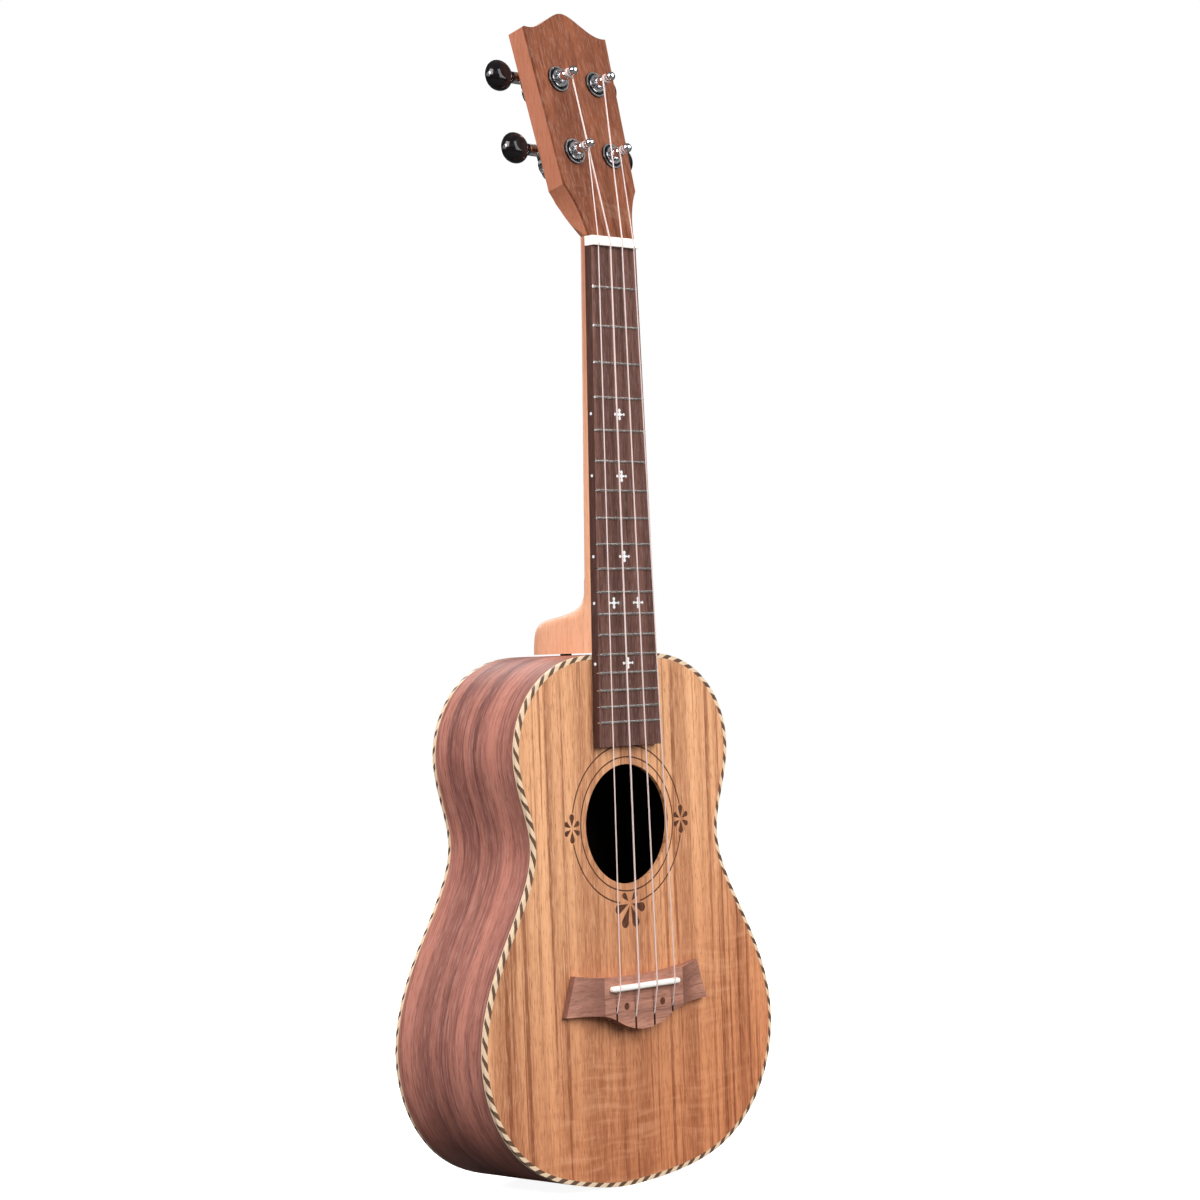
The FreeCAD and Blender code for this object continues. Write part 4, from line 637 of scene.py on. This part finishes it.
def make_bone(trim):
    """Polished bone with faint growth lines."""
    bone = Finish("bone", Specular_IOR_Level=0.55, Subsurface_Weight=0.12, Subsurface_Scale=0.6 * MM)
    line = bone.noise(bone.mapped(bone.place, scale=(0.15, 1, 1)), 900, 3.0, 0.6, seed=1.0)
    growth = mixed(trim.bone, (0.8, 0.66, 0.5), 0.35)
    tone = bone.blend(bone.between(line, 0.45, 0.8, 0.0, 0.5), trim.bone, growth)
    bone.surface(Base_Color=tone, Roughness=bone.between(line, 0.2, 0.8, 0.22, 0.36))
    bone.bump(line, 0.01 * MM, 0.3)
    return bone.material


def make_nylon(trim):
    """Drawn nylon string."""
    nylon = Finish("nylon", Specular_IOR_Level=0.4)
    drawn = nylon.noise(nylon.mapped(nylon.place, scale=(1, 1, 0.05)), 3000, 2.0, 0.5, seed=2.0)
    tone = nylon.blend(drawn, mixed(trim.nylon, (0.7, 0.5, 0.5), 0.25), mixed(trim.nylon, WHITE, 0.15))
    nylon.surface(Base_Color=tone, Roughness=nylon.between(drawn, 0.2, 0.8, 0.2, 0.34))
    nylon.bump(drawn, 0.01 * MM, 0.2)
    return nylon.material


class UKULELE_OT_strings(bpy.types.Operator):
    """Finishes the strings, the nut and the saddle"""

    bl_idname = "ukulele.strings"
    bl_label = "Strings, nut and saddle"

    def execute(self, context):
        trim = context.scene.ukulele_trim
        paint(make_nylon(trim), *STRINGS)
        paint(make_bone(trim), "nut", "saddle")
        return {"FINISHED"}


def make_inlay(trim):
    """Dark wood set into the top, with short grain."""
    inlay = Finish("dark_inlay", Specular_IOR_Level=0.25)
    grain = inlay.noise(inlay.mapped(inlay.place, scale=(1, 1, 0.08)), 1400, 3.0, 0.6, seed=8.0)
    pale = mixed(trim.inlay, (0.45, 0.2, 0.1), 0.3)
    tone = inlay.blend(inlay.between(grain, 0.35, 0.75), trim.inlay, pale)
    inlay.surface(Base_Color=tone, Roughness=inlay.between(grain, 0.2, 0.8, 0.4, 0.55))
    inlay.bump(grain, 0.03 * MM, 0.5)
    return inlay.material


class UKULELE_OT_bridge(bpy.types.Operator):
    """Finishes the bridge, its plugs and the sound-hole inlay"""

    bl_idname = "ukulele.bridge"
    bl_label = "Bridge and rosette"

    def execute(self, context):
        woods, trim = context.scene.ukulele_woods, context.scene.ukulele_trim
        bridge = Wood("bridge_wood", woods.bridge_light, woods.bridge_dark, (0.035, 1, 1), 31.0,
                      bands=120, streaks=520, pores=1600,
                      band_depth=0.5, streak_depth=0.5, pore_depth=0.4, gloss=0.48)
        # partly darker end grain and partly painted shade: faces turned along X, the ends and the sloping
        # wings, are darkened towards the dark grain colour
        end_grain_and_painted_shade = bridge.calculate("ABSOLUTE", bridge.facing((1, 0, 0)))
        bridge.shade(bridge.between(end_grain_and_painted_shade, 0.03, 0.4, 0.0, 0.75), woods.bridge_dark)
        paint(bridge.done(), "bridge")
        paint(make_inlay(trim), "rosette", "bridge_plugs")
        return {"FINISHED"}


# ---------------------------------------------------------------------------
# Tuners
# ---------------------------------------------------------------------------
def make_chrome(trim):
    """Bright plating with faint wipe marks."""
    chrome = Finish("chrome", Metallic=1.0)
    wipe = chrome.noise(chrome.place, 420, 3.0, 0.6, 0.8, seed=2.0)
    tone = chrome.blend(chrome.between(wipe, 0.4, 0.7), darker(trim.chrome, 0.06), trim.chrome)
    chrome.surface(Base_Color=tone, Roughness=chrome.between(wipe, 0.3, 0.8, 0.06, 0.16))
    chrome.bump(wipe, 0.01 * MM, 0.15)
    return chrome.material


def make_washer_finish(trim):
    """Plated rim round a recess whose lower part is painted near-black as a painted dark reflection."""
    washer = Finish("washer", Metallic=1.0)
    tilt = head_tilt()
    out = Vector((0, -math.cos(tilt), math.sin(tilt)))
    level = max(corner.co.dot(out) for corner in frame["nodes"]["post_washers"].data.vertices)
    rise = washer.combine("DOT_PRODUCT", washer.place, out)
    # painted dark reflection: the recess more than a fraction of a millimetre below the rim is mixed to
    # near-black
    painted_dark_reflection = washer.between(rise, level - 0.2 * MM, level - 0.5 * MM)
    wipe = washer.noise(washer.place, 420, 3.0, 0.6, 0.8, seed=2.0)
    tone = washer.blend(washer.between(wipe, 0.4, 0.7), darker(trim.chrome, 0.08), trim.chrome)
    washer.surface(Base_Color=washer.blend(painted_dark_reflection, tone, darker(trim.chrome, 0.93)),
                   Roughness=washer.between(wipe, 0.3, 0.8, 0.08, 0.2))
    washer.bump(wipe, 0.01 * MM, 0.15)
    return washer.material


def make_steel(trim):
    """Turned steel of the worms and the screws."""
    steel = Finish("screw_steel", Metallic=1.0)
    mark = steel.noise(steel.place, 1800, 3.0, 0.6, seed=6.0)
    tone = steel.blend(mark, darker(trim.chrome, 0.35), darker(trim.chrome, 0.1))
    steel.surface(Base_Color=tone, Roughness=steel.between(mark, 0.2, 0.8, 0.22, 0.42))
    steel.bump(mark, 0.02 * MM, 0.3)
    return steel.material


def make_brass(trim):
    """Machined brass with a little tarnish."""
    brass = Finish("gear_brass", Metallic=1.0)
    cloud = brass.noise(brass.place, 500, 4.0, 0.6, seed=4.0)
    tarnish = mixed(trim.brass, (0.25, 0.12, 0.04), 0.5)
    tone = brass.blend(brass.between(cloud, 0.4, 0.75), trim.brass, tarnish)
    brass.surface(Base_Color=tone, Roughness=brass.between(cloud, 0.2, 0.8, 0.2, 0.42))
    brass.bump(cloud, 0.02 * MM, 0.3)
    return brass.material


def make_button_finish(trim):
    """Glossy black moulding with a soft orange-peel surface."""
    button = Finish("black_button", Coat_Weight=0.15, Coat_Roughness=0.05, Specular_IOR_Level=0.3)
    peel = button.noise(button.place, 700, 2.0, 0.5, seed=3.0)
    wear = button.noise(button.place, 180, 4.0, 0.6, seed=9.0)
    tone = button.blend(button.between(wear, 0.5, 0.8, 0.0, 0.6), trim.button, (0.02, 0.018, 0.019))
    button.surface(Base_Color=tone, Roughness=button.between(wear, 0.3, 0.8, 0.1, 0.22))
    button.bump(peel, 0.03 * MM, 0.25)
    return button.material


class UKULELE_OT_tuners(bpy.types.Operator):
    """Finishes the posts, gears, housings, plates, screws and buttons"""

    bl_idname = "ukulele.tuners"
    bl_label = "Tuners"

    def execute(self, context):
        trim = context.scene.ukulele_trim
        chrome, steel, brass = make_chrome(trim), make_steel(trim), make_brass(trim)
        button = make_button_finish(trim)
        paint(chrome, "post_bushings", "tuner_plates")
        paint(make_washer_finish(trim), "post_washers")
        paint(steel, "tuner_screws")
        for place in TUNERS:
            paint(chrome, f"post_{place}", f"housing_{place}")
            paint(steel, f"worm_{place}", f"button_screw_{place}")
            paint(brass, f"wheel_{place}")
            paint(button, f"button_{place}")
        return {"FINISHED"}


# ---------------------------------------------------------------------------
# Studio
# ---------------------------------------------------------------------------
def make_floor(studio):
    """A round paper floor under the instrument: white to the camera, dim to the instrument."""
    shape = bmesh.new()
    low, high = cad_box
    centre = (low + high) / 2
    bmesh.ops.create_circle(shape, cap_ends=True, segments=96, radius=studio.floor_radius)
    bmesh.ops.translate(shape, verts=shape.verts, vec=(centre.x, centre.y, low.z))
    mesh = bpy.data.meshes.new("studio_floor")
    shape.to_mesh(mesh)
    shape.free()
    floor = bpy.data.objects.new("studio_floor", mesh)
    bpy.context.scene.collection.objects.link(floor)
    paper = Finish("paper_floor", Specular_IOR_Level=0.1, Emission_Color=WHITE)
    grain = paper.noise(paper.place, 300, 3.0, 0.6)
    tone = paper.blend(grain, mixed(studio.floor_colour, (0.8, 0.8, 0.8), 0.3), studio.floor_colour)
    seen = paper.node("ShaderNodeLightPath", {}).outputs["Is Camera Ray"]
    paper.surface(Base_Color=paper.blend(seen, (0.12, 0.12, 0.12), tone),
                  Emission_Strength=paper.calculate("MULTIPLY", seen, 0.93),
                  Roughness=paper.between(grain, 0, 1, 0.7, 0.9))
    floor.data.materials.append(paper.material)


def make_room(studio):
    """White to the camera; a soft room with darker bands for the polished metal to mirror."""
    world = bpy.data.worlds.new("studio_room")
    bpy.context.scene.world = world
    world.use_nodes = True
    nodes, links = world.node_tree.nodes, world.node_tree.links
    nodes.clear()
    output = nodes.new("ShaderNodeOutputWorld")
    direction = nodes.new("ShaderNodeTexCoord")
    split = nodes.new("ShaderNodeSeparateXYZ")
    ramp = nodes.new("ShaderNodeValToRGB")
    room = nodes.new("ShaderNodeBackground")
    white = nodes.new("ShaderNodeBackground")
    path = nodes.new("ShaderNodeLightPath")
    mix = nodes.new("ShaderNodeMixShader")
    height = nodes.new("ShaderNodeMapRange")
    height.inputs["From Min"].default_value = -1
    links.new(direction.outputs["Generated"], split.inputs[0])
    links.new(split.outputs["Z"], height.inputs["Value"])
    links.new(height.outputs[0], ramp.inputs[0])
    while len(ramp.color_ramp.elements) < len(ROOM_BANDS):
        ramp.color_ramp.elements.new(0.5)
    for element, (position, level) in zip(ramp.color_ramp.elements, ROOM_BANDS):
        element.position = position
        element.color = (level, level, level, 1)
    links.new(ramp.outputs[0], room.inputs["Color"])
    room.inputs["Strength"].default_value = studio.room_level
    white.inputs["Color"].default_value = (*WHITE, 1)
    links.new(path.outputs["Is Camera Ray"], mix.inputs[0])
    links.new(room.outputs[0], mix.inputs[1])
    links.new(white.outputs[0], mix.inputs[2])
    links.new(mix.outputs[0], output.inputs["Surface"])


def add_light(name, offset, size, watts, tint=WHITE):
    """A square soft light, off the instrument's middle and shining at it."""
    place = (cad_box[0] + cad_box[1]) / 2 + Vector(offset)
    lamp = bpy.data.lights.new(name, "AREA")
    lamp.size = size
    lamp.energy = watts
    lamp.color = tint
    light = bpy.data.objects.new(name, lamp)
    light.location = place
    light.rotation_mode = "QUATERNION"
    light.rotation_quaternion = (-Vector(offset)).to_track_quat("-Z", "Y")
    bpy.context.scene.collection.objects.link(light)


def place_camera(studio):
    """A camera from its place, heading, pitch, roll and lens."""
    yaw, pitch, roll = studio.camera_yaw, studio.camera_pitch, studio.camera_roll
    sight = Vector((math.sin(yaw) * math.cos(pitch), math.cos(yaw) * math.cos(pitch), math.sin(pitch)))
    right = Vector((math.cos(yaw), -math.sin(yaw), 0))
    up = right.cross(sight)
    turned_right = math.cos(roll) * right + math.sin(roll) * up
    turned_up = math.cos(roll) * up - math.sin(roll) * right
    data = bpy.data.cameras.new("camera")
    data.lens = studio.camera_lens
    data.sensor_width = 36
    camera = bpy.data.objects.new("camera", data)
    turn = Matrix((turned_right, turned_up, -sight)).transposed().to_4x4()
    camera.matrix_world = Matrix.Translation(studio.camera_place) @ turn
    bpy.context.scene.collection.objects.link(camera)
    bpy.context.scene.camera = camera


class UKULELE_OT_studio(bpy.types.Operator):
    """Sets up the floor, the room, the lights and the camera"""

    bl_idname = "ukulele.studio"
    bl_label = "Studio"

    def execute(self, context):
        studio = context.scene.ukulele_studio
        make_floor(studio)
        make_room(studio)
        add_light("key", (0.3, -1.5, 0.8), 1.5, studio.key_power, (1, 0.985, 0.96))
        add_light("side", (-1.5, -0.15, 1.0), 1.0, studio.side_power, (1, 0.98, 0.97))
        add_light("back", (0.6, 1.6, 0.7), 1.0, studio.back_power)
        place_camera(studio)
        context.scene.view_settings.view_transform = "Standard"
        return {"FINISHED"}


# ---------------------------------------------------------------------------
# Panel and registration
# ---------------------------------------------------------------------------
OPERATORS = (
    UKULELE_OT_body,
    UKULELE_OT_rope_binding,
    UKULELE_OT_neck,
    UKULELE_OT_fretboard,
    UKULELE_OT_strings,
    UKULELE_OT_bridge,
    UKULELE_OT_tuners,
    UKULELE_OT_studio,
)


class UKULELE_PT_panel(bpy.types.Panel):
    """Lists the steps and their values"""

    bl_idname = "UKULELE_PT_panel"
    bl_label = "Concert ukulele"
    bl_space_type = "VIEW_3D"
    bl_region_type = "UI"
    bl_category = "Ukulele"

    def draw(self, context):
        for operator in OPERATORS:
            self.layout.operator(operator.bl_idname)
        for name in GROUPS:
            values = getattr(context.scene, name)
            for key in values.bl_rna.properties.keys():
                if key not in ("rna_type", "name"):
                    self.layout.prop(values, key)


GROUPS = {"ukulele_woods": UkuleleWoods, "ukulele_trim": UkuleleTrim, "ukulele_studio": UkuleleStudio}
CLASSES = (*GROUPS.values(), *OPERATORS, UKULELE_PT_panel)


def register():
    """Registers the classes and hangs the values on the scene."""
    for made in CLASSES:
        bpy.utils.register_class(made)
    for name, group in GROUPS.items():
        setattr(bpy.types.Scene, name, PointerProperty(type=group))


def unregister():
    """Undoes register()."""
    for name in GROUPS:
        delattr(bpy.types.Scene, name)
    for made in reversed(CLASSES):
        bpy.utils.unregister_class(made)


def main():
    """Runs every step."""
    register()
    for operator in OPERATORS:
        group, name = operator.bl_idname.split(".")
        getattr(getattr(bpy.ops, group), name)()


if __name__ == "__main__":
    main()
